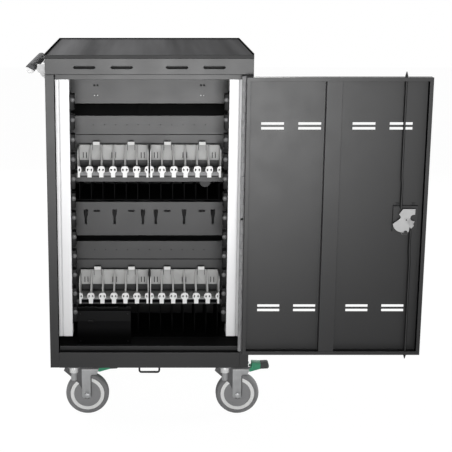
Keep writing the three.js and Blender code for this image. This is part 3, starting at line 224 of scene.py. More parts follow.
# Near white zinc for the fork's collars and a line on its brace: painted highlight.
ZINC_HIGHLIGHT = Finish("zinc_painted_highlight", srgb(240, 240, 240), 0.3, metallic=0.35, grain_size=0.0006,
                     grain_depth=0.00001, drift=0.04, drift_size=0.01)
CAM_STEEL = Finish("cam_steel", srgb(182, 182, 182), 0.5, metallic=0.2, grain=Grain.LEVEL, grain_size=0.0006,
                   grain_depth=0.00001, drift=0.05, drift_size=0.02)
ALUMINIUM = Finish("satin_aluminium", srgb(240, 240, 241), 0.45, metallic=0.1, grain=Grain.UPRIGHT,
                   grain_size=0.0008, grain_depth=0.00001, drift=0.02)
# Grey for the strip's front groove: painted shade in the groove.
GROOVE_SHADE_GREY = Finish("extrusion_groove_painted_shade", srgb(212, 212, 213), 0.6, grain=Grain.UPRIGHT, grain_size=0.0008,
                     grain_depth=0.00001, drift=0.04)
COMB_GREY = Finish("comb_plastic", srgb(172, 172, 171), 0.5, grain_size=0.0009, drift=0.05)
# A paler copy of the comb plastic for its ribs and ends: painted light.
COMB_RIB_PAINTED_LIGHT = Finish("comb_rib_painted_light", srgb(228, 228, 227), 0.5, grain_size=0.0009, drift=0.03)
COMB_BAR = Finish("comb_bar_plastic", srgb(138, 138, 139), 0.6, grain_size=0.0009, drift=0.08)
CLIP_WHITE = Finish("clip_plastic", srgb(246, 246, 245), 0.45, grain_size=0.0009, drift=0.02)
BLACK_PLASTIC = Finish("black_plastic", srgb(18, 18, 19), 0.5, gloss=0.14, grain_size=0.0009, drift=0.12)
LUG_GREY = Finish("socket_lug_plastic", srgb(88, 88, 89), 0.42, grain_size=0.0008, drift=0.2, drift_size=0.01)
TAB_GREY = Finish("cord_tab_plastic", srgb(48, 48, 49), 0.6, grain_size=0.0008, drift=0.15, drift_size=0.02)
# Near black for holes, the spindle dimple and the sides of the lock rods: painted shade.
HOLE_SHADE_DARK = Finish("hole_and_side_painted_shade", srgb(12, 12, 13), 0.8, gloss=0.2, drift=0.2, drift_size=0.01)
# Dark grey for the punched holes in the rack panels: painted shade in them.
PUNCHED_SHADE = Finish("punched_hole_painted_shade", srgb(30, 30, 31), 0.6, gloss=0.35, drift=0.3, drift_size=0.02)
TYRE_GREY = Finish("tyre_rubber", srgb(134, 134, 135), 0.75, gloss=0.3, grain_size=0.0014,
                   grain_depth=0.00006, drift=0.08, drift_size=0.03)
RING_WHITE = Finish("wheel_ring_plastic", srgb(248, 248, 247), 0.5, drift=0.02)
HUB_GREY = Finish("wheel_hub_plastic", srgb(146, 146, 147), 0.6, gloss=0.3, drift=0.05)
BRACKET_PALE = Finish("bracket_pale_coat", srgb(232, 232, 232), 0.6, gloss=0.2, drift=0.04)
PLUG_WHITE = Finish("handle_plug_plastic", srgb(240, 240, 240), 0.6, gloss=0.2, drift=0.02)
# Dark grey on the fork's leg and upper brace: painted shade.
FORK_SHADE = Finish("fork_painted_shade", srgb(98, 98, 99), 0.6, gloss=0.2, drift=0.1, drift_size=0.02)
PEDAL_GREEN = Finish("pedal_plastic", srgb(70, 150, 116), 0.55, gloss=0.15, grain_size=0.0009, drift=0.07, drift_size=0.03)
TOE_GREY = Finish("pedal_toe_rubber", srgb(78, 79, 79), 0.75, gloss=0.15, drift=0.1, drift_size=0.02)
HANDLE_GREY = Finish("handle_grip", srgb(94, 94, 95), 0.75, gloss=0.08, grain_size=0.002, drift=0.08)


@dataclass
class Palette:
    """Hands out one material for each finish."""

    made: dict[str, bpy.types.Material] = field(default_factory=dict)

    def of(self, finish: Finish) -> bpy.types.Material:
        """The material of a finish, built when it is first asked for."""
        if finish.name not in self.made:
            self.made[finish.name] = finish.build()
        return self.made[finish.name]


@dataclass(frozen=True)
class CartFrame:
    """Places measured from the cabinet's front face, its middle and the floor, in millimetres."""

    middle_x: float
    front_y: float

    def at(self, x: float, y: float, z: float) -> Vector:
        """A point of the cart in the row's frame, in metres."""
        return Vector((self.middle_x + x * MM, self.front_y + y * MM, z * MM))


def lathe(profile: Profile, centre: Vector, facing: Facing, segments: int = 64) -> bmesh.types.BMesh:
    """Turns a profile about an axis.

    Args:
        profile: Radius and distance along the axis of each point, in millimetres. It makes a ring when
            it starts off the axis.
        centre: The point of the axis where the distance is nought, in metres.
        facing: The way that the distance grows.
        segments: Steps round the axis.

    Returns:
        The closed turned shape.
    """
    bm = bmesh.new()
    rings: list[list[bmesh.types.BMVert]] = []
    for radius, along in profile:
        if radius == 0:
            rings.append([bm.verts.new((0, 0, along * MM))])
            continue
        ring = []
        for step in range(segments):
            angle = 2 * math.pi * step / segments
            ring.append(bm.verts.new((radius * MM * math.cos(angle), radius * MM * math.sin(angle), along * MM)))
        rings.append(ring)
    pairs = list(zip(rings, rings[1:]))
    if profile[0][0] > 0:
        pairs.append((rings[-1], rings[0]))
    for low, high in pairs:
        for step in range(segments):
            following = (step + 1) % segments
            corners = [low[step % len(low)], low[following % len(low)],
                       high[following % len(high)], high[step % len(high)]]
            unique = list(dict.fromkeys(corners))
            if len(unique) > 2:
                bm.faces.new(unique)
    bmesh.ops.recalc_face_normals(bm, faces=bm.faces)
    bm.transform(Matrix.Translation(centre) @ facing.turn)
    return bm


def bar(path: Sequence[Vector], radii: Sequence[float], sides: int = 8) -> bmesh.types.BMesh:
    """A capped bar with flat sides, one of them facing the front.

    Args:
        path: Points of its middle line, in metres.
        radii: Its radius at each point, in millimetres.
        sides: Steps round it.

    Returns:
        The closed bar.
    """
    bm = bmesh.new()
    rings: list[list[bmesh.types.BMVert]] = []
    side = Vector((0, 1, 0))
    for index, point in enumerate(path):
        along = (path[min(index + 1, len(path) - 1)] - path[max(index - 1, 0)]).normalized()
        across = along.cross(side).normalized()
        up = across.cross(along).normalized()
        ring = []
        for step in range(sides):
            angle = 2 * math.pi * (step + 0.5) / sides
            ring.append(bm.verts.new(point + (across * math.cos(angle) + up * math.sin(angle)) * radii[index] * MM))
        rings.append(ring)
    for low, high in zip(rings, rings[1:]):
        for step in range(sides):
            following = (step + 1) % sides
            bm.faces.new((low[step], low[following], high[following], high[step]))
    bm.faces.new(rings[0])
    bm.faces.new(rings[-1])
    bmesh.ops.recalc_face_normals(bm, faces=bm.faces)
    return bm


def slab(corner: Vector, opposite: Vector, round_by: float = 0.0, steps: int = 2) -> bmesh.types.BMesh:
    """A block between two corners in metres, with its edges rounded by round_by millimetres."""
    bm = bmesh.new()
    size = Vector(abs(a - b) for a, b in zip(corner, opposite))
    matrix = Matrix.Translation((corner + opposite) / 2) @ Matrix.Diagonal((*size, 1))
    bmesh.ops.create_cube(bm, size=1, matrix=matrix)
    if round_by:
        bmesh.ops.bevel(bm, geom=list(bm.edges), offset=round_by * MM, segments=steps, profile=0.5,
                        affect="EDGES")
    return bm


def joined(parts: Iterable[bmesh.types.BMesh]) -> bmesh.types.BMesh:
    """All parts in one mesh; the parts are used up."""
    whole = bmesh.new()
    for part in parts:
        carrier = bpy.data.meshes.new("carrier")
        part.to_mesh(carrier)
        part.free()
        whole.from_mesh(carrier)
        bpy.data.meshes.remove(carrier)
    return whole


def painted(bm: bmesh.types.BMesh, index: int,
            where: Callable[[Vector, Vector], bool] | None = None) -> bmesh.types.BMesh:
    """Gives faces a material number.

    Args:
        bm: The mesh.
        index: The material number.
        where: Picks a face by its middle and its normal; all faces when left out.

    Returns:
        The same mesh.
    """
    bm.normal_update()
    for face in bm.faces:
        if where is None or where(face.calc_center_median(), face.normal):
            face.material_index = index
    return bm


def split_at(bm: bmesh.types.BMesh, axis: int, *places: float) -> bmesh.types.BMesh:
    """Cuts faces along planes square to an axis, so that both sides can be painted apart.

    Args:
        bm: The mesh.
        axis: 0, 1 or 2 for X, Y or Z.
        places: Where the planes stand, in metres.

    Returns:
        The same mesh.
    """
    square = Vector([float(axis == index) for index in range(3)])
    for place in places:
        bmesh.ops.bisect_plane(bm, geom=[*bm.verts, *bm.edges, *bm.faces], plane_co=square * place, plane_no=square)
    return bm


@dataclass
class Workbench:
    """Makes named pieces that ride on the cart's bodies."""

    nodes: dict[str, bpy.types.Object]
    palette: Palette
    cart: CartFrame
    made: list[str] = field(default_factory=list)

    def copy_of(self, node: str, soften: float = 0.0, steps: int = 1, edge: int = 0,
                angle: float = 30.0) -> bmesh.types.BMesh:
        """A copy of a CAD solid with its folds and edges softened.

        Args:
            node: Name of the CAD node.
            soften: Width of the bevel on its edges, in millimetres.
            steps: Segments of that bevel.
            edge: Material number of the bevels.
            angle: Edges that turn more than this, in degrees, are bevelled.

        Returns:
            The mesh, in metres.
        """
        bm = bmesh.new()
        bm.from_mesh(self.nodes[node].data)
        bmesh.ops.remove_doubles(bm, verts=bm.verts, dist=WELD)
        bmesh.ops.dissolve_limit(bm, angle_limit=math.radians(1), use_dissolve_boundaries=False,
                                 verts=bm.verts, edges=bm.edges)
        painted(bm, 0)
        if soften:
            limit = math.radians(angle)
            edges = [e for e in bm.edges if e.is_manifold and e.calc_face_angle(0) > limit]
            bevel = bmesh.ops.bevel(bm, geom=edges, offset=soften * MM, segments=steps, profile=0.5,
                                    affect="EDGES", clamp_overlap=False)
            for face in bevel["faces"]:
                face.material_index = edge
        return bm

    def piece(self, name: str, bm: bmesh.types.BMesh, finishes: Sequence[Finish], body: str, slot: str,
              stands_for: Sequence[str] = (), smooth: float = 34.0) -> bpy.types.Object:
        """Turns a mesh into a piece of the cart.

        Args:
            name: Plain name of the piece.
            bm: Its shape, used up here.
            finishes: Its finishes, in the order of its faces' material numbers.
            body: The body that it moves with.
            slot: Name of a material slot; not used.
            stands_for: CAD nodes that this piece is shown in place of.
            smooth: Edges that turn less than this, in degrees, are shaded smooth.

        Returns:
            The new object.
        """
        mesh = bpy.data.meshes.new(name)
        bm.to_mesh(mesh)
        bm.free()
        for finish in finishes:
            mesh.materials.append(self.palette.of(finish))
        mesh.shade_smooth()
        mesh.set_sharp_from_angle(angle=math.radians(smooth))
        piece = bpy.data.objects.new(name, mesh)
        bpy.context.scene.collection.objects.link(piece)
        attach(piece, body)
        if stands_for:
            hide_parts(*stands_for)
        self.made.append(name)
        LOG.info("%s: %d faces, rides on %s", name, len(mesh.polygons), body)
        return piece

    def sheet_piece(self, name: str, node: str, body: str, soften: float = 0.5,
                    paint: Finish = CHARCOAL) -> bpy.types.Object:
        """Makes a painted sheet part in place of a CAD node, with its folds rubbed paler.

        Args:
            name: Plain name of the piece.
            node: The CAD node.
            body: The body that it moves with.
            soften: Width of its rounded folds, in millimetres.
            paint: Its paint.

        Returns:
            The new object.
        """
        folded = self.copy_of(node, soften, 2, edge=1)
        return self.piece(name, folded, [paint, CHARCOAL_EDGE], body, "charcoal_paint", [node], FLAT_SHADED)


@dataclass
class RowMaker:
    """Repeats a small part in an even row, by one Geometry Nodes tree."""

    bench: Workbench
    tree: bpy.types.NodeTree | None = None
    sockets: dict[str, str] = field(default_factory=dict)

    def __post_init__(self) -> None:
        """Builds the tree: a line of points, the part on each, made real and given its material."""
        tree = bpy.data.node_groups.new("even_row", "GeometryNodeTree")
        kinds = {"Part": "NodeSocketObject", "Count": "NodeSocketInt", "Start": "NodeSocketVector",
                 "Step": "NodeSocketVector", "Material": "NodeSocketMaterial"}
        for label, kind in kinds.items():
            socket = tree.interface.new_socket(name=label, in_out="INPUT", socket_type=kind)
            self.sockets[label] = socket.identifier
        tree.interface.new_socket(name="Geometry", in_out="OUTPUT", socket_type="NodeSocketGeometry")
        given = tree.nodes.new("NodeGroupInput")
        result = tree.nodes.new("NodeGroupOutput")
        line = tree.nodes.new("GeometryNodeMeshLine")
        line.mode = "OFFSET"
        part = tree.nodes.new("GeometryNodeObjectInfo")
        spread = tree.nodes.new("GeometryNodeInstanceOnPoints")
        real = tree.nodes.new("GeometryNodeRealizeInstances")
        coat = tree.nodes.new("GeometryNodeSetMaterial")
        link = tree.links.new
        link(given.outputs["Count"], line.inputs["Count"])
        link(given.outputs["Start"], line.inputs["Start Location"])
        link(given.outputs["Step"], line.inputs["Offset"])
        link(given.outputs["Part"], part.inputs["Object"])
        link(line.outputs["Mesh"], spread.inputs["Points"])
        link(part.outputs["Geometry"], spread.inputs["Instance"])
        link(spread.outputs["Instances"], real.inputs["Geometry"])
        link(real.outputs["Geometry"], coat.inputs["Geometry"])
        link(given.outputs["Material"], coat.inputs["Material"])
        link(coat.outputs["Geometry"], result.inputs["Geometry"])
        self.tree = tree

    def row(self, part: bmesh.types.BMesh, count: int, start: Vector, step: Vector,
            finish: Finish) -> bmesh.types.BMesh:
        """Makes one row.

        Args:
            part: The small part, about the origin, in metres; used up here.
            count: How many stand in the row.
            start: Place of the first, in metres.
            step: From one to the next, in metres.
            finish: The finish of all of them.

        Returns:
            The row as one mesh.
        """
        shape = bpy.data.meshes.new("row_part")
        part.to_mesh(shape)
        part.free()
        model = bpy.data.objects.new("row_part", shape)
        carrier = bpy.data.objects.new("row_carrier", bpy.data.meshes.new("row_carrier"))
        for helper in (model, carrier):
            bpy.context.scene.collection.objects.link(helper)
        modifier = carrier.modifiers.new("row", "NODES")
        modifier.node_group = self.tree
        values = {"Part": model, "Count": count, "Start": tuple(start), "Step": tuple(step),
                  "Material": self.bench.palette.of(finish)}
        for label, value in values.items():
            modifier[self.sockets[label]] = value
        carrier.update_tag()
        graph = bpy.context.evaluated_depsgraph_get()
        mesh = bpy.data.meshes.new_from_object(carrier.evaluated_get(graph))
        carrier.modifiers.remove(modifier)
        bm = bmesh.new()
        bm.from_mesh(mesh)
        bpy.data.meshes.remove(mesh)
        for helper in (model, carrier):
            leftover = helper.data
            bpy.data.objects.remove(helper)
            bpy.data.meshes.remove(leftover)
        return painted(bm, 0)

    def piece(self, name: str, rows: Sequence[bmesh.types.BMesh], finish: Finish, body: str,
              slot: str) -> bpy.types.Object:
        """Joins rows of one finish into one piece."""
        return self.bench.piece(name, joined(rows), [finish], body, slot)


def screw_head(radius: float, height: float, facing: Facing) -> bmesh.types.BMesh:
    """A domed screw head with a sunk drive, its seat at the origin.

    Args:
        radius: Outer radius in millimetres.
        height: Height of the dome in millimetres.
        facing: The way that the head points.

    Returns:
        The small part.
    """
    drive = radius * 0.42
    profile = [(0, height * 0.35), (drive, height * 0.35), (drive * 1.06, height), (radius * 0.72, height * 0.86),
               (radius * 0.94, height * 0.5), (radius, 0), (0, -0.4)]
    return lathe(profile, Vector(), facing, 12)


def hexagon_head(radius: float, height: float, facing: Facing) -> bmesh.types.BMesh:
    """A hexagon bolt head on a thin washer, its seat at the origin."""
    washer = lathe([(0, 1), (radius * 1.25, 1), (radius * 1.3, 0.6), (radius * 1.3, 0), (0, 0)], Vector(), facing, 18)
    head = lathe([(0, height), (radius * 0.85, height), (radius, height * 0.85), (radius, 0.8), (0, 0.8)], Vector(),
                 facing, 6)
    return joined([washer, head])


def punched_hole(radius: float, facing: Facing) -> bmesh.types.BMesh:
    """A small punched hole, shown as a dish with a thin rim that its rows paint dark as the shade in it, its seat at
    the origin.
    """
    profile = [(0, 0.1), (radius * 0.85, 0.1), (radius * 0.94, 0.2), (radius, 0.15), (radius, -0.2), (0, -0.2)]
    return lathe(profile, Vector(), facing, 14)


@dataclass
class CabinetShell:
    """Side panels, base and lid of the sheet steel body, in millimetres."""

    bench: Workbench
    deck: float = 1053.0
    band: float = 9.5
    skirt_bottom: float = 1000.0
    seam: float = 1.6
    stile_return: float = 28.0
    floor_zone: float = 12.0

    def build(self) -> None:
        """Builds every piece of the shell."""
        self.bench.sheet_piece("right_side_panel_folded", "right_side_panel", "cabinet", 0.6)
        self.build_base()
        self.build_left_panel()
        self.build_lid()

    def build_base(self) -> None:
        """The base pan, with its floor in a paler, duller copy of the paint, its paleness painted light."""
        base = self.bench.copy_of("base_pan", 0.6, 2, edge=1)
        floor_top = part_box("base_pan")[0].z + self.floor_zone * MM
        painted(base, 2, lambda middle, normal: normal.z > 0.5 and middle.z < floor_top)
        self.bench.piece("base_pan_folded", base, [CHARCOAL, CHARCOAL_EDGE, FLOOR_COAT_PAINTED_LIGHT], "cabinet", "charcoal_paint",
                         ["base_pan"], FLAT_SHADED)

    def build_left_panel(self) -> None:
        """The left side panel, with the return of its near stile in shadow."""
        node = "left_side_panel"
        panel = self.bench.copy_of(node, 0.6, 2, edge=1)
        low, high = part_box(node)
        depth = low.y + self.stile_return * MM
        painted(panel, 2, lambda middle, normal: normal.x > 0.5 and middle.x > high.x - 1 * MM and middle.y < depth)
        self.bench.piece(f"{node}_folded", panel, [CHARCOAL, CHARCOAL_EDGE, SEAM_SHADOW_DARK], "cabinet", "charcoal_paint",
                         [node], FLAT_SHADED)

    def build_lid(self) -> None:
        """The lid: darker band round the deck, its rim painted black as shade, its top painted paler in long streaks as
        light and sheen.
        """
        lid = self.bench.copy_of("top_lid", 0.7, 2, edge=1)
        seam = (self.skirt_bottom + self.seam) * MM
        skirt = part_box("top_lid")[0].y + 6 * MM
        # A strip at the foot of the lid's front is painted darker, as shadow in the seam under it.
        split_at(lid, 2, seam)
        painted(lid, 2, lambda middle, normal: middle.y < skirt and middle.z < seam)
        band_low = (self.deck - self.band) * MM
        deck = self.deck * MM
        painted(lid, 2, lambda middle, normal: middle.z > band_low - 0.5 * MM)
        # The rim is painted black as shade, and the top paler as painted light and sheen.
        painted(lid, 3, lambda middle, normal: middle.z > deck + 0.05 * MM)
        painted(lid, 4, lambda middle, normal: normal.z > 0.99 and abs(middle.z - deck) < 0.3 * MM)
        self.bench.piece("top_lid_folded", lid, [CHARCOAL, CHARCOAL_EDGE, DECK_BAND_AND_SEAM_SHADOW, RIM_SHADE_BLACK, DECK_TOP_PAINTED_LIGHT],
                         "cabinet", "charcoal_paint", ["top_lid"], FLAT_SHADED)


@dataclass
class ChargerSide:
    """Partition panels, trays and power unit behind the charger door, in millimetres."""

    bench: Workbench
    rows: RowMaker
    panel_face: float = 222.0
    hole_rows: tuple[float, ...] = (828.6, 452.1)
    hole_count: int = 11
    hole_pitch: float = 32.6
    pair_middles: tuple[float, ...] = (-154.0, 153.5)
    pair_spacing: float = 9.0
    tab_place: tuple[float, float, float] = (164.0, 227.0, 659.0)
    tab_radius: float = 17.0
    flange_gap: float = 1.5
    lip_shadows: tuple[float, float] = (2.5, 9.4)
    comb_reach: float = 204.0
    unit_face: float = 32.0

    def build(self) -> None:
        """Builds every piece of the charger side except combs and power strips."""
        # The partition panels are in the lighter copy of the charcoal paint, as painted light.
        for node in ("top_partition_panel", "cable_pass_panel", "upper_rack_panel", "lower_rack_panel"):
            self.bench.sheet_piece(f"{node}_folded", node, "cabinet", 0.4, PANEL_COAT_PAINTED_LIGHTER)
        for node, shadow in zip(("upper_adapter_tray", "lower_adapter_tray"), self.lip_shadows):
            self.build_tray(node, shadow)
        self.build_holes()
        self.build_cord_tab()
        self.build_power_unit()

    def build_tray(self, node: str, shadow: float) -> None:
        """One adapter tray, with painted shadow along the top of its back flange and at the foot of its front lip.

        Args:
            node: The CAD tray that it stands for.
            shadow: Height of the painted shadow at the foot of its front lip.
        """
        tray = self.bench.copy_of(node, 0.4, 2, edge=1)
        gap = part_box(node)[1].z - self.flange_gap * MM
        low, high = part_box(node)
        lip = low.z + shadow * MM
        middle_x = (low.x + high.x) / 2
        reach = self.comb_reach * MM
        split_at(tray, 2, gap, lip)
        split_at(tray, 0, middle_x - reach, middle_x + reach)
        # Painted shadow along the top of the back flange.
        painted(tray, 2, lambda middle, normal: middle.z > gap)

        def on_lip(middle: Vector, normal: Vector) -> bool:
            """Whether a face is the front of the lip before the combs."""
            return normal.y < -0.5 and middle.y < low.y + 3 * MM and abs(middle.x - middle_x) < reach

        painted(tray, 3, on_lip)
        # The foot of the lip is painted dark as shadow.
        painted(tray, 2, lambda middle, normal: on_lip(middle, normal) and middle.z < lip)
        self.bench.piece(f"{node}_folded", tray, [PANEL_COAT_PAINTED_LIGHTER, CHARCOAL_EDGE, SEAM_SHADOW_DARK, COMB_BAR], "cabinet",
                         "charcoal_paint", [node], FLAT_SHADED)

    def build_holes(self) -> None:
        """Punched rows in the rack panels, and paired holes and screws in the top panel."""
        at = self.bench.cart.at
        first_x = -self.hole_pitch * (self.hole_count - 1) / 2
        step = Vector((self.hole_pitch * MM, 0, 0))
        rows = []
        # The punched holes are dishes painted dark grey, as shade in them.
        for height in self.hole_rows:
            start = at(first_x, self.panel_face, height)
            rows.append(self.rows.row(punched_hole(1.8, Facing.NEAR), self.hole_count, start, step, PUNCHED_SHADE))
        self.rows.piece("rack_panel_punched_holes", rows, PUNCHED_SHADE, "cabinet", "black_steel")
        pair = Vector((self.pair_spacing * MM, 0, 0))
        holes = []
        screws = []
        # The paired holes are dishes painted dark, as shade in them.
        for middle in self.pair_middles:
            left = middle - self.pair_spacing / 2
            holes.append(self.rows.row(punched_hole(3.0, Facing.NEAR), 2, at(left, self.panel_face, 943.8), pair,
                                       HOLE_SHADE_DARK))
            screws.append(self.rows.row(screw_head(2.0, 1.4, Facing.NEAR), 2, at(left, self.panel_face, 914.5), pair,
                                        ZINC))
        self.rows.piece("top_panel_paired_holes", holes, HOLE_SHADE_DARK, "cabinet", "black_steel")
        self.rows.piece("top_panel_screws", screws, ZINC, "cabinet", "zinc_plate")

    def build_cord_tab(self) -> None:
        """A half round cord tab hung under the upper rack panel's flange."""
        x, y, z = self.tab_place
        outer = self.tab_radius
        profile = [(0, -1.4), (outer - 1, -1.4), (outer, -0.6), (outer, 0.6), (outer - 1, 1.4), (0, 1.4)]
        ring = lathe(profile, self.bench.cart.at(x, y, z), Facing.NEAR, 36)
        cutting = bmesh.ops.bisect_plane(ring, geom=[*ring.verts, *ring.edges, *ring.faces],
                                         plane_co=self.bench.cart.at(x, y, z), plane_no=(0, 0, 1), clear_outer=True)
        rim = [item for item in cutting["geom_cut"] if isinstance(item, bmesh.types.BMEdge)]
        bmesh.ops.holes_fill(ring, edges=rim)
        bmesh.ops.recalc_face_normals(ring, faces=ring.faces)
        self.bench.piece("cord_tab", ring, [TAB_GREY], "cabinet", "black_plastic")

    def build_power_unit(self) -> None:
        """The power unit's cover, painted dark below its face as shadow, with its switch, and the mains inlet with its
        pins.
        """
        unit = self.bench.copy_of("power_unit", 1.0, 2)
        low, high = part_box("power_unit")
        skirt = high.z - self.unit_face * MM
        split_at(unit, 2, skirt)
        # Below its front face the cover is painted dark as shadow.
        painted(unit, 1, lambda middle, normal: middle.z < skirt)
        self.bench.piece("power_unit_cover", unit, [UNIT_BLACK, INNER_SHADE_PAINT], "cabinet", "black_steel", ["power_unit"],
                         FLAT_SHADED)
        corner = Vector((low.x + 9 * MM, low.y, high.z - 9 * MM))
        across = Vector((high.x - low.x - 18 * MM, 0, 0))
        heads = [self.rows.row(screw_head(2.6, 1.5, Facing.NEAR), 2, corner - Vector((0, 0, drop * MM)), across,
                               BLACK_STEEL) for drop in (0, 86)]
        self.rows.piece("power_unit_screws", heads, BLACK_STEEL, "cabinet", "black_steel")
        switch = self.bench.copy_of("power_switch", 0.5, 2)
        self.bench.piece("power_switch_rocker", switch, [BLACK_PLASTIC], "rocker", "black_plastic", ["power_switch"])
        inlet = self.bench.copy_of("mains_inlet", 0.8, 2)
        self.bench.piece("mains_inlet_housing", inlet, [BLACK_PLASTIC], "cabinet", "black_plastic", ["mains_inlet"])
        low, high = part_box("mains_inlet")
        floor = Vector((high.x - 16.2 * MM, (low.y + high.y) / 2 - 10 * MM, (low.z + high.z) / 2))
        pin = slab(Vector((0, -1, -2)) * MM, Vector((11, 1, 2)) * MM, 0.4)
        pins = self.rows.row(pin, 3, floor, Vector((0, 10 * MM, 0)), ZINC)
        self.rows.piece("mains_inlet_pins", [pins], ZINC, "cabinet", "zinc_plate")


@dataclass
class AdapterCombs:
    """The four moulded combs that hold power adapters upright, in millimetres."""

    bench: Workbench
    clip_depth: float = 5.6
    tab_height: float = 8.9
    floor_below_top: float = 74.6
    wall_depth: float = 8.0
    bar_depth: float = 23.0

    def build(self) -> None:
        """Builds the combs of both tiers."""
        for level in ("upper", "lower"):
            for side in ("left", "right"):
                self.build_comb(f"{level}_{side}_adapter_comb")

    def build_comb(self, node: str) -> None:
        """One comb: grey back wall, ribs painted paler as light, white clips and tabs, and a darker bar between the
        clips with its top painted white as light.
        """
        comb = self.bench.copy_of(node, 0.35, 1)
        low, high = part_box(node)
        clip_back = low.y + self.clip_depth * MM
        tab_foot = high.z - self.tab_height * MM
        floor = high.z - self.floor_below_top * MM
        # Ribs and ends are painted paler, as light on them.
        painted(comb, 1, lambda middle, normal: abs(normal.x) > 0.6 and middle.z > floor)
        painted(comb, 2, lambda middle, normal: middle.z < floor and normal.y < -0.5)
        rib_back = high.y - self.wall_depth * MM
        painted(comb, 1, lambda middle, normal: middle.z > floor and middle.y < rib_back and normal.y < -0.3)
        bar_back = low.y + self.bar_depth * MM
        split_at(comb, 1, bar_back)
        # The top of the bar is painted white, as painted light.
        painted(comb, 3, lambda middle, normal: middle.z < floor and middle.y < bar_back and normal.z > 0.5)
        painted(comb, 3, lambda middle, normal: middle.y < clip_back - 1 * MM or middle.z > tab_foot)
        self.bench.piece(f"{node}_moulding", comb, [COMB_GREY, COMB_RIB_PAINTED_LIGHT, COMB_BAR, CLIP_WHITE], "cabinet",
                         "comb_plastic", [node])


@dataclass
class PowerStrips:
    """Two tall extruded power strips with a row of sockets each, in millimetres."""

    bench: Workbench
    rows: RowMaker
    socket_count: int = 12
    pin_spacing: float = 19.0
    well_depth: float = 3.9
    lug_lift: float = 7.0
    lug_radius: float = 6.5

    def build(self) -> None:
        """Builds both strips and their sockets."""
        for side, inward in (("left", 1), ("right", -1)):
            self.build_strip(side)
            self.build_sockets(side, inward)

    def build_strip(self, side: str) -> None:
        """One extrusion, with its front groove painted a little darker as shade."""
        node = f"{side}_power_strip"
        strip = self.bench.copy_of(node, 0.6, 2)
        low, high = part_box(node)
        front = low.y + 0.4 * MM
        groove_floor = low.y + 2.2 * MM
        edge = 6 * MM

        def in_groove(middle: Vector, normal: Vector) -> bool:
            """Whether a face is a wall or the floor of the front groove."""
            return front < middle.y < groove_floor and low.x + edge < middle.x < high.x - edge

        # The groove is painted darker as shade.
        painted(strip, 1, in_groove)
        self.bench.piece(f"{side}_power_strip_extrusion", strip, [ALUMINIUM, GROOVE_SHADE_GREY], "cabinet",
                         "strip_aluminium", [node], FLAT_SHADED)

    def build_sockets(self, side: str, inward: int) -> None:
        """The socket bosses of one strip with their pin holes and locking lugs.

        Args:
            side: left or right.
            inward: The way along X that the sockets face.
        """
        node = f"{side}_socket_row"
        bosses = self.bench.copy_of(node, 0.8, 2)
        self.bench.piece(f"{node}_bosses", bosses, [BLACK_PLASTIC], "cabinet", "black_plastic", [node])
        low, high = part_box(node)
        pitch = (high.z - low.z) / self.socket_count
        step = Vector((0, 0, pitch))
        first = low.z + pitch / 2
        middle_y = (low.y + high.y) / 2
        face_x = high.x if inward > 0 else low.x
        facing = Facing.RIGHT if inward > 0 else Facing.LEFT
        holes = []
        # The pin holes are dishes painted dark, as shade in them.
        for offset in (-0.5, 0.5):
            start = Vector((face_x - inward * self.well_depth * MM, middle_y, first + offset * self.pin_spacing * MM))
            holes.append(self.rows.row(punched_hole(2.6, facing), self.socket_count, start, step, HOLE_SHADE_DARK))
        self.rows.piece(f"{side}_socket_pin_holes", holes, HOLE_SHADE_DARK, "cabinet", "black_plastic")
        radius = self.lug_radius
        lug = lathe([(0, -2), (radius, -2), (radius, 1), (radius * 0.8, 2), (radius * 0.4, 2.6), (0, 2.8)], Vector(),
                    Facing.NEAR, 20)
        start = Vector((face_x - inward * (radius - 2) * MM, low.y, first + self.lug_lift * MM))
        lugs = self.rows.row(lug, self.socket_count, start, step, LUG_GREY)
        self.rows.piece(f"{side}_socket_lugs", [lugs], LUG_GREY, "cabinet", "black_plastic")


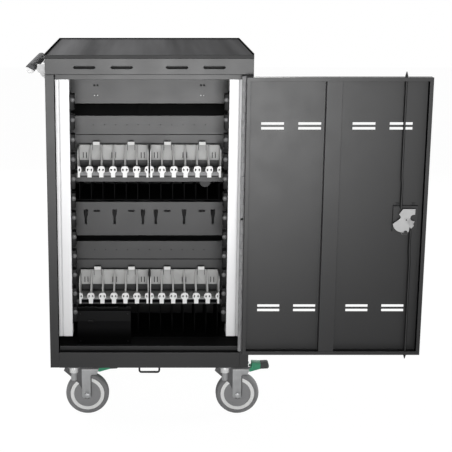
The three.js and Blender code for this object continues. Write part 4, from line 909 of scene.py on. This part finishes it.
@dataclass
class PianoHinge:
    """A long hinge whose two leaves share short knuckles along one pin, in millimetres."""

    bench: Workbench
    rows: RowMaker
    door: str
    axis: tuple[float, float]
    frame_way: tuple[int, int]
    door_way: tuple[int, int]
    bottom: float = 220.0
    top: float = 997.0
    joint: float = 604.0
    joint_gap: float = 6.0
    knuckle: float = 20.0
    radius: float = 4.6
    bore: float = 2.4
    pin_radius: float = 1.9
    leaf_reach: float = 24.6
    leaf_depths: tuple[float, float] = (3.2, 4.7)
    clearance: float = 0.6

    def build(self) -> None:
        """Builds both leaves with their knuckles, and the pin."""
        # The leaves are in light greys as painted sheen.
        leaves = ((f"{self.door}_frame_hinge_leaf", "cabinet", self.frame_way, 0, HINGE_SHEEN_GREY),
                  (f"{self.door}_door_hinge_leaf", f"{self.door}_door", self.door_way, 1, HINGE_SHEEN_PALE))
        for node, body, way, first, finish in leaves:
            self.build_leaf(node, body, way, finish)
            self.build_knuckles(node, body, way, first, finish)
        at = self.bench.cart.at
        x, y = self.axis
        inset = self.clearance
        profile = [(0, 0), (self.pin_radius, 0.6), (self.pin_radius, self.top - self.bottom - 2 * inset - 0.6),
                   (0, self.top - self.bottom - 2 * inset)]
        pin = lathe(profile, at(x, y, self.bottom + inset), Facing.UP, 16)
        self.bench.piece(f"{self.door}_hinge_pin", pin, [ZINC], "cabinet", "zinc_plate")
        sleeve_low = self.joint - self.joint_gap / 2 + 0.2
        sleeve_height = self.joint_gap - 0.4
        sleeve = [(2.0, 0), (3.2, 0), (3.4, 0.4), (3.4, sleeve_height - 0.4), (3.2, sleeve_height), (2.0, sleeve_height)]
        self.bench.piece(f"{self.door}_hinge_sleeve", lathe(sleeve, at(x, y, sleeve_low), Facing.UP, 24),
                         [BLACK_PLASTIC], "cabinet", "black_plastic")

    def build_leaf(self, node: str, body: str, way: tuple[int, int], finish: Finish) -> None:
        """The flat of one leaf.

        Args:
            node: The CAD leaf that it stands for.
            body: The body that it moves with.
            way: Signs of the leaf's reach along X and of its depth along Y, seen from the pin.
            finish: Its finish.
        """
        at = self.bench.cart.at
        x, y = self.axis
        near, deep = self.leaf_depths
        corner = at(x + way[0] * (self.radius + 0.4), y + way[1] * near, self.bottom)
        opposite = at(x + way[0] * self.leaf_reach, y + way[1] * deep, self.top)
        flat = slab(corner, opposite, 0.3, 1)
        self.bench.piece(f"{node}_flat", flat, [finish], body, "zinc_plate", [node], FLAT_SHADED)

    def build_knuckles(self, node: str, body: str, way: tuple[int, int], first: int, finish: Finish) -> None:
        """Every second knuckle of the hinge, above and below its joint.

        Args:
            node: The leaf that they belong to.
            body: The body that they move with.
            way: The leaf's signs along X and Y.
            first: 0 when the lowest knuckle is this leaf's, 1 when it is the other's.
            finish: Their finish.
        """
        at = self.bench.cart.at
        x, y = self.axis
        half_gap = self.joint_gap / 2
        rows = []
        for low, high in ((self.bottom, self.joint - half_gap), (self.joint + half_gap, self.top)):
            total = round((high - low) / self.knuckle)
            pitch = (high - low) / total
            count = (total - first + 1) // 2
            start = at(x, y, low + first * pitch + self.clearance / 2)
            part = self.knuckle_part(pitch - self.clearance, way)
            rows.append(self.rows.row(part, count, start, Vector((0, 0, 2 * pitch * MM)), finish))
        self.rows.piece(f"{node}_knuckles", rows, finish, body, "zinc_plate")

    def knuckle_part(self, height: float, way: tuple[int, int]) -> bmesh.types.BMesh:
        """One rolled knuckle and the tab that joins it to its leaf."""
        roll = lathe([(self.bore, 0), (self.radius - 0.3, 0), (self.radius, 0.3), (self.radius, height - 0.3),
                      (self.radius - 0.3, height), (self.bore, height)], Vector(), Facing.UP, 24)
        near, deep = self.leaf_depths
        tab = slab(Vector((way[0] * 1.2, way[1] * near, 0)) * MM,
                   Vector((way[0] * (self.radius + 1), way[1] * deep, height)) * MM)
        return joined([roll, tab])


@dataclass
class DoorLock:
    """The charger door's lock: case, cam, outside lever and two rods, in millimetres."""

    bench: Workbench
    rows: RowMaker
    middle: tuple[float, float] = (699.3, 608.0)
    case_half: float = 36.0
    rod_radius: float = 3.4
    rod_bend: float = 715.0
    rod_shift: float = 2.0

    def build(self) -> None:
        """Builds every piece of the lock."""
        self.build_case()
        self.build_cam()
        handle = self.bench.copy_of("lock_handle", 1.6, 3)
        self.bench.piece("lock_handle_lever", handle, [BLACK_STEEL], "lock_turn", "black_steel", ["lock_handle"])
        self.build_rods()

    def build_case(self) -> None:
        """The case: painted face, black sides and posts, and a grey block below."""
        case = self.bench.copy_of("lock_case", 0.5, 2)
        upper = (self.middle[1] + self.case_half) * MM
        lower = (self.middle[1] - self.case_half) * MM
        painted(case, 1, lambda middle, normal: abs(normal.y) < 0.6 or middle.z > upper)
        painted(case, 2, lambda middle, normal: middle.z < lower - 0.5 * MM)
        self.bench.piece("lock_case_housing", case, [CHARCOAL, BLACK_STEEL, HUB_GREY], "charger_door", "charcoal_paint",
                         ["lock_case"], FLAT_SHADED)

    def build_cam(self) -> None:
        """The plated cam, with the dimple in the end of its spindle painted dark as shade."""
        cam = self.bench.copy_of("lock_cam", 0.3, 1)
        self.bench.piece("lock_cam_plate", cam, [CAM_STEEL], "lock_turn", "zinc_plate", ["lock_cam"])
        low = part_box("lock_cam")[0]
        centre = self.bench.cart.at(self.middle[0], 0, self.middle[1])
        centre.y = low.y
        dimple = self.rows.row(punched_hole(2.0, Facing.NEAR), 1, centre, Vector(), HOLE_SHADE_DARK)
        self.rows.piece("lock_spindle_dimple", [dimple], HOLE_SHADE_DARK, "lock_turn", "black_steel")

    def build_rods(self) -> None:
        """Both rods, with a slight joggle near the lock and a pointed tip."""
        for level, end_sign, side in (("upper", 1, 1), ("lower", -1, -1)):
            node = f"{level}_lock_rod"
            low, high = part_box(node)
            x = (low.x + high.x) / 2
            y = (low.y + high.y) / 2
            foot, tip = (low.z, high.z) if end_sign > 0 else (high.z, low.z)
            bend = (self.middle[1] + end_sign * (self.rod_bend - self.middle[1])) * MM
            shift = side * self.rod_shift * MM
            stations = [(foot, shift, 1.0), (bend - end_sign * 12 * MM, shift, 1.0), (bend + end_sign * 12 * MM, 0, 1.0),
                        (tip - end_sign * 16 * MM, 0, 1.0), (tip - end_sign * 12 * MM, 0, 1.2),
                        (tip - end_sign * 1 * MM, 0, 0.35), (tip, 0, 0.2)]
            path = [Vector((x + offset, y, height)) for height, offset, _ in stations]
            rod = bar(path, [self.rod_radius * share for _, _, share in stations])
            # The rod's sides are painted dark as shade; its front facet takes the door's paint.
            painted(rod, 1, lambda middle, normal: normal.y < -0.9)
            self.bench.piece(f"{node}_bar", rod, [HOLE_SHADE_DARK, CHARCOAL], f"{level}_bolt", "black_steel", [node])


@dataclass
class Doors:
    """The open charger door of the photograph and the laptop door on the far side."""

    bench: Workbench
    rows: RowMaker
    lip_gap: float = 8.4

    def build(self) -> None:
        """Builds both doors with their hinges and locks."""
        self.build_charger_door()
        self.bench.sheet_piece("charger_door_hat", "charger_door_stiffener", "charger_door", 0.5)
        self.build_laptop_door()
        PianoHinge(self.bench, self.rows, "charger", (HINGE_X, -5.0), (1, 1), (1, -1)).build()
        PianoHinge(self.bench, self.rows, "laptop", (-HINGE_X, 505.0), (-1, -1), (1, -1)).build()
        DoorLock(self.bench, self.rows).build()
        lever = self.bench.copy_of("laptop_lock_lever", 1.2, 3)
        self.bench.piece("laptop_lock_lever_handle", lever, [BLACK_STEEL], "laptop_lock", "black_steel",
                         ["laptop_lock_lever"])

    def build_charger_door(self) -> None:
        """The charger door's pan, with painted shadow in the gap under its free lip."""
        node = "charger_door_pan"
        pan = self.bench.copy_of(node, 0.4, 2, edge=1)
        low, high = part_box(node)
        gap = high.x - self.lip_gap * MM
        lip = low.y + 4 * MM
        split_at(pan, 0, gap)
        # The skin under the free lip is painted dark as shadow.
        painted(pan, 2, lambda middle, normal: middle.x > gap and middle.y > lip and normal.y < -0.5)
        self.bench.piece("charger_door_folded", pan, [CHARCOAL, CHARCOAL_EDGE, SEAM_SHADOW_DARK], "charger_door",
                         "charcoal_paint", [node], FLAT_SHADED)

    def build_laptop_door(self) -> None:
        """The laptop door, coated outside and painted paler and dull inside, as painted light for the dark cabinet."""
        pan = self.bench.copy_of("laptop_door_pan", 0.4, 2, edge=1)
        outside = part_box("laptop_door_pan")[1].y - 0.5 * MM
        # The inside faces are painted paler, as painted light.
        painted(pan, 2, lambda middle, normal: middle.y < outside and normal.y < -0.5)
        self.bench.piece("laptop_door_folded", pan, [CHARCOAL, CHARCOAL_EDGE, DOOR_INSIDE_PAINTED_LIGHT], "laptop_door",
                         "charcoal_paint", ["laptop_door_pan"], FLAT_SHADED)
        self.bench.sheet_piece("laptop_door_hat", "laptop_door_stiffener", "laptop_door", 0.5, DOOR_INSIDE_PAINTED_LIGHT)


@dataclass
class LaptopRacks:
    """The two shelves with upright fins behind the laptop door."""

    bench: Workbench

    def build(self) -> None:
        """Builds both racks."""
        for level in ("upper", "lower"):
            # The racks are painted near black, as shade deep in the cabinet.
            rack = self.bench.copy_of(f"{level}_laptop_rack", 0.3, 1)
            self.bench.piece(f"{level}_laptop_rack_fins", rack, [INNER_SHADE_PAINT], "cabinet", "dark_paint",
                             [f"{level}_laptop_rack"], FLAT_SHADED)


@dataclass
class OuterFittings:
    """Push handle with its brackets, and the security loop under the sill, in millimetres."""

    bench: Workbench
    rows: RowMaker
    plug_slope: tuple[float, float] = (-0.45, -0.89)
    plug_reach: float = 30.0

    def build(self) -> None:
        """Builds the handle and the loop."""
        self.build_handle()
        loop = self.bench.copy_of("security_loop")
        self.bench.piece("security_loop_bar", loop, [BLACK_STEEL], "cabinet", "black_steel", ["security_loop"], 50)

    def build_handle(self) -> None:
        """The round bar with rounded end caps, and its brackets with two screws each."""
        low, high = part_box("push_handle_bar")
        middle = (low + high) / 2
        half = (high.y - low.y) / 2 / MM
        radius = (high.x - low.x) / 2 / MM
        end = [(radius * 0.6, half), (radius * 0.86, half - 0.8), (radius * 0.97, half - 2.6), (radius, half - 5),
               (radius, half - 16), (radius - 0.5, half - 16.4), (radius - 0.5, half - 17.2), (radius, half - 17.6)]
        profile = [(0, half), *end, *((r, -along) for r, along in reversed(end)), (0, -half)]
        grip = lathe(profile, middle, Facing.FAR, 48)
        for end_y, inward in ((low.y, 1), (high.y, -1)):
            self.add_plug(grip, Vector((middle.x, end_y, middle.z)), inward)
        self.bench.piece("push_handle_grip", grip, [HANDLE_GREY, PLUG_WHITE], "cabinet", "handle_grey",
                         ["push_handle_bar"])
        heads = []
        for end_name in ("near", "far"):
            node = f"{end_name}_handle_bracket"
            bracket = self.bench.copy_of(node, 0.6, 2)
            self.bench.piece(f"{node}_plate", bracket, [BRACKET_PALE], "cabinet", "zinc_plate", [node], FLAT_SHADED)
            foot_low, foot_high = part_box(node)
            seat = Vector((foot_high.x - 4 * MM, foot_low.y + 7 * MM, foot_low.z + 10 * MM))
            across = Vector((0, foot_high.y - foot_low.y - 14 * MM, 0))
            heads.append(self.rows.row(screw_head(4, 2.2, Facing.LEFT), 2, seat, across, ZINC))
        self.rows.piece("handle_bracket_screws", heads, ZINC, "cabinet", "zinc_plate")

    def add_plug(self, grip: bmesh.types.BMesh, centre: Vector, inward: int) -> None:
        """Paints one end of the grip as a pale plug that meets it on a slant.

        Args:
            grip: The grip's mesh.
            centre: The middle of the end's face.
            inward: The way along Y that leads into the grip.
        """
        slope_x, slope_z = self.plug_slope
        outwards = Vector((slope_x, -inward, slope_z)).normalized()
        bmesh.ops.bisect_plane(grip, geom=[*grip.verts, *grip.edges, *grip.faces], plane_co=centre, plane_no=outwards)
        reach = self.plug_reach * MM
        painted(grip, 1, lambda place, normal: (place - centre).dot(outwards) > 0 and abs(place.y - centre.y) < reach)


@dataclass
class Casters:
    """Four swivel casters, with brake pedals on the near pair, in millimetres."""

    bench: Workbench
    rows: RowMaker
    ring_outer: float = 49.2
    ring_inner: float = 38.9
    collar_radius: float = 13.0
    collar_zone: tuple[float, float] = (131.5, 146.5)
    leg_face: float = 21.0
    brace_face: float = 24.0
    brace_line: tuple[float, float] = (140.0, 141.5)
    trail: float = 38.0
    bolt_spread: tuple[float, float] = (76.0, 61.0)

    def build(self) -> None:
        """Builds every caster."""
        for end in ("near", "far"):
            for side in ("left", "right"):
                corner = f"{end}_{side}"
                self.build_plate(corner)
                self.build_fork(corner)
                self.build_wheel(corner)
                if end == "near":
                    self.build_pedal(corner)

    def build_plate(self, corner: str) -> None:
        """The top plate with its bearing and four bolts."""
        node = f"{corner}_caster_plate"
        plate = self.bench.copy_of(node, 0.6, 2)
        self.bench.piece(f"{corner}_caster_top_plate", plate, [ZINC], "cabinet", "zinc_plate", [node])
        low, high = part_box(node)
        middle = (low + high) / 2
        wide, deep = self.bolt_spread
        under = high.z - 4 * MM
        rows = []
        for y in (-0.5, 0.5):
            start = Vector((middle.x - wide / 2 * MM, middle.y + y * deep * MM, under))
            rows.append(self.rows.row(hexagon_head(5.5, 5, Facing.DOWN), 2, start, Vector((wide * MM, 0, 0)), ZINC))
        self.rows.piece(f"{corner}_caster_plate_bolts", rows, ZINC, "cabinet", "zinc_plate")

    def build_fork(self, corner: str) -> None:
        """The pressed fork, its collars and a line on its brace painted near white as highlight, its leg and upper
        brace painted as shade, and the axle bolt.
        """
        node = f"{corner}_caster_fork"
        fork = self.bench.copy_of(node, 0.4, 2)
        low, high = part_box(f"{corner}_caster_plate")
        kingpin = (low + high) / 2
        reach = (self.collar_radius + 0.6) * MM
        zone_low, zone_high = (height * MM for height in self.collar_zone)

        def on_collar(middle: Vector, normal: Vector) -> bool:
            """Whether a face is on one of the two collars."""
            return abs(middle.x - kingpin.x) < reach and zone_low < middle.z < zone_high \
                and abs(middle.y - kingpin.y) > 21.2 * MM

        def off_plate(middle: Vector, normal: Vector, distance: float) -> bool:
            """Whether a face lies flat at a distance from the wheel's middle plane."""
            return abs(normal.y) > 0.9 and abs(abs(middle.y - kingpin.y) - distance * MM) < 0.6 * MM

        line_low, line_high = (height * MM for height in self.brace_line)
        # Painted shade on the leg and upper brace, a painted highlight line on the brace, and painted highlight on the
        # collars.
        split_at(fork, 2, line_low, line_high)
        painted(fork, 2, lambda middle, normal: off_plate(middle, normal, self.leg_face))
        painted(fork, 1, lambda middle, normal: off_plate(middle, normal, self.brace_face) and middle.z > line_low)
        painted(fork, 2, lambda middle, normal: off_plate(middle, normal, self.brace_face) and middle.z > line_high)
        painted(fork, 1, on_collar)
        self.bench.piece(f"{corner}_caster_pressed_fork", fork, [ZINC, ZINC_HIGHLIGHT, FORK_SHADE], f"{corner}_swivel",
                         "zinc_plate", [node])
        axle = self.bench.copy_of(f"{corner}_caster_axle", 0.5, 2)
        self.bench.piece(f"{corner}_caster_axle_bolt", axle, [ZINC], f"{corner}_swivel", "zinc_plate",
                         [f"{corner}_caster_axle"])

    def build_wheel(self, corner: str) -> None:
        """A turned wheel: grey tyre, white ring and grey hub."""
        node = f"{corner}_caster_wheel"
        low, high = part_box(node)
        middle = (low + high) / 2
        radius = (high.z - low.z) / 2 / MM
        half = (high.y - low.y) / 2 / MM
        tyre_side = [(self.ring_outer, half - 1.6), (self.ring_outer + 1, half - 0.6), (self.ring_outer + 3, half),
                     (radius - 7, half - 0.4), (radius - 3, half - 2.6), (radius - 0.8, half - 6.4),
                     (radius, half - 9.5)]
        ring_side = [(self.ring_inner, half - 1.9), (self.ring_inner + 0.6, half - 1.3),
                     (self.ring_outer - 0.6, half - 1.3), (self.ring_outer - 0.1, half - 1.9)]
        hub_side = [(5.7, half - 1.0), (12, half - 0.8), (15, half - 1.8), (31, half - 2.6), (35, half - 1.4),
                    (self.ring_inner - 0.1, half - 1.9)]
        parts = []
        for index, flank in enumerate((tyre_side, ring_side, hub_side)):
            profile = [*flank, *((r, -along) for r, along in reversed(flank))]
            parts.append(painted(lathe(profile, middle, Facing.FAR, 96), index))
        self.bench.piece(f"{corner}_wheel_and_tyre", joined(parts), [TYRE_GREY, RING_WHITE, HUB_GREY],
                         f"{corner}_wheel", "wheel_grey", [node], 40)

    def build_pedal(self, corner: str) -> None:
        """A moulded brake pedal with a darker toe."""
        node = f"{corner}_brake_pedal"
        pedal = self.bench.copy_of(node, 1.4, 3)
        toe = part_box(node)[1].x - 25 * MM
        split_at(pedal, 0, toe)
        painted(pedal, 1, lambda middle, normal: middle.x > toe)
        self.bench.piece(f"{corner}_pedal_moulding", pedal, [PEDAL_GREEN, TOE_GREY], f"{corner}_pedal", "pedal_green",
                         [node])


@dataclass(frozen=True)
class ViewPoint:
    """The camera of the photograph, in metres, degrees and image pixels."""

    distance: float = 2.9067
    height: float = 1.3407
    pitch: float = 12.0
    focal_pixels: float = 1089.1
    centre_x: float = 149.35
    centre_y: float = 176.2
    sensor: float = 36.0


@dataclass
class Studio:
    """Floor, lights, white surroundings and the camera."""

    cart: CartFrame
    view: ViewPoint = ViewPoint()
    floor_white: float = 0.95
    floor_mirrored: float = 0.08
    floor_glow: float = 1.03
    ambient: float = 0.15

    def build(self) -> None:
        """Builds the whole studio."""
        self.build_camera()
        self.build_floor()
        self.build_world()
        self.build_lights()
        bpy.context.scene.view_settings.view_transform = "Standard"

    def build_camera(self) -> None:
        """Puts the camera where the photograph was taken from."""
        data = bpy.data.cameras.new("photo_camera")
        data.sensor_fit = "HORIZONTAL"
        data.sensor_width = self.view.sensor
        data.lens = self.view.focal_pixels * self.view.sensor / IMAGE_SIDE
        data.shift_x = 0.5 - self.view.centre_x / IMAGE_SIDE
        data.shift_y = self.view.centre_y / IMAGE_SIDE - 0.5
        camera = bpy.data.objects.new("photo_camera", data)
        camera.location = (self.cart.middle_x, self.cart.front_y - self.view.distance, self.view.height)
        camera.rotation_euler = (math.radians(90 - self.view.pitch), 0, 0)
        bpy.context.scene.collection.objects.link(camera)
        bpy.context.scene.camera = camera

    def build_floor(self) -> None:
        """A pale floor that shows white and keeps a faint shadow."""
        material = bpy.data.materials.new("pale_floor")
        material.use_nodes = True
        tree = material.node_tree
        tree.nodes.clear()
        output = tree.nodes.new("ShaderNodeOutputMaterial")
        diffuse = tree.nodes.new("ShaderNodeBsdfDiffuse")
        diffuse.inputs["Color"].default_value = (0.85, 0.85, 0.85, 1)
        glow = tree.nodes.new("ShaderNodeEmission")
        glow.inputs["Strength"].default_value = self.floor_glow
        mix = tree.nodes.new("ShaderNodeMixShader")
        tree.links.new(self.seen_white(tree, self.floor_white, self.floor_mirrored), mix.inputs["Fac"])
        tree.links.new(diffuse.outputs["BSDF"], mix.inputs[1])
        tree.links.new(glow.outputs["Emission"], mix.inputs[2])
        tree.links.new(mix.outputs["Shader"], output.inputs["Surface"])
        mesh = bpy.data.meshes.new("studio_floor")
        bm = bmesh.new()
        bmesh.ops.create_grid(bm, x_segments=4, y_segments=4, size=9)
        bm.to_mesh(mesh)
        bm.free()
        mesh.materials.append(material)
        floor = bpy.data.objects.new("studio_floor", mesh)
        bpy.context.scene.collection.objects.link(floor)

    def seen_white(self, tree: bpy.types.NodeTree, direct: float, mirrored: float) -> bpy.types.NodeSocket:
        """The share of white that a ray sees.

        Args:
            tree: The tree to add the nodes to.
            direct: The share for a camera ray.
            mirrored: The share for a glossy or transmission ray; all other rays see none.

        Returns:
            The share for the ray at hand.
        """

        def math_node(kind: str, first: bpy.types.NodeSocket, second: bpy.types.NodeSocket | float) \
                -> bpy.types.NodeSocket:
            """One math node of two values."""
            node = tree.nodes.new("ShaderNodeMath")
            node.operation = kind
            tree.links.new(first, node.inputs[0])
            if isinstance(second, float):
                node.inputs[1].default_value = second
            else:
                tree.links.new(second, node.inputs[1])
            return node.outputs["Value"]

        path = tree.nodes.new("ShaderNodeLightPath").outputs
        bounced = math_node("MAXIMUM", path["Is Glossy Ray"], path["Is Transmission Ray"])
        return math_node("MAXIMUM", math_node("MULTIPLY", path["Is Camera Ray"], direct),
                         math_node("MULTIPLY", bounced, mirrored))

    def build_world(self) -> None:
        """White to the eye, soft grey as a light."""
        world = bpy.data.worlds.new("white_studio")
        bpy.context.scene.world = world
        world.use_nodes = True
        tree = world.node_tree
        tree.nodes.clear()
        output = tree.nodes.new("ShaderNodeOutputWorld")
        dim = tree.nodes.new("ShaderNodeBackground")
        dim.inputs["Color"].default_value = (1, 1, 1, 1)
        dim.inputs["Strength"].default_value = self.ambient
        white = tree.nodes.new("ShaderNodeBackground")
        white.inputs["Color"].default_value = (1, 1, 1, 1)
        mix = tree.nodes.new("ShaderNodeMixShader")
        tree.links.new(self.seen_white(tree, 1.0, 1.0), mix.inputs["Fac"])
        tree.links.new(dim.outputs["Background"], mix.inputs[1])
        tree.links.new(white.outputs["Background"], mix.inputs[2])
        tree.links.new(mix.outputs["Shader"], output.inputs["Surface"])

    def build_lights(self) -> None:
        """A frontal key lamp beside the camera, and soft lamps for the sides and the back."""
        at = self.cart.at
        self.add_lamp("key_lamp", at(120, -2950, 500), at(120, 0, 1130), (1.2, 0.6), 9.1, 60)
        self.add_lamp("fill_lamp", at(0, -2900, 1420), at(0, 0, 600), (0.5, 0.5), 6)
        self.add_lamp("left_lamp", at(-1250, 250, 1750), at(-100, 250, 1000), (0.8, 0.8), 20)
        self.add_lamp("right_lamp", at(3200, 900, 1100), at(280, 250, 600), (1.4, 1.4), 60)
        self.add_lamp("back_lamp", at(0, 3500, 900), at(0, 500, 600), (1.6, 1.6), 75)

    def add_lamp(self, name: str, place: Vector, target: Vector, size: tuple[float, float], watts: float,
                 spread: float = 180.0) -> None:
        """Adds one area lamp.

        Args:
            name: Name of the lamp.
            place: Where it hangs, in metres.
            target: The point that it faces.
            size: Its width and height in metres.
            watts: Its power.
            spread: Angle of its beam in degrees.
        """
        data = bpy.data.lights.new(name, "AREA")
        data.shape = "RECTANGLE"
        data.size, data.size_y = size
        data.energy = watts
        data.spread = math.radians(spread)
        lamp = bpy.data.objects.new(name, data)
        lamp.location = place
        lamp.rotation_euler = (target - place).to_track_quat("-Z", "Y").to_euler()
        lamp.visible_camera = False
        bpy.context.scene.collection.objects.link(lamp)


def main() -> None:
    """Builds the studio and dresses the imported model."""
    logging.basicConfig(level=logging.INFO, format="%(name)s: %(message)s")
    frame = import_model()
    lid_low, lid_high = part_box("top_lid")
    cart = CartFrame((lid_low.x + lid_high.x) / 2, lid_low.y)
    Studio(cart).build()
    bench = Workbench(frame["nodes"], Palette(), cart)
    rows = RowMaker(bench)
    CabinetShell(bench).build()
    ChargerSide(bench, rows).build()
    AdapterCombs(bench).build()
    PowerStrips(bench, rows).build()
    Doors(bench, rows).build()
    LaptopRacks(bench).build()
    OuterFittings(bench, rows).build()
    Casters(bench, rows).build()
    LOG.info("%d pieces made", len(bench.made))


if __name__ == "__main__":
    main()
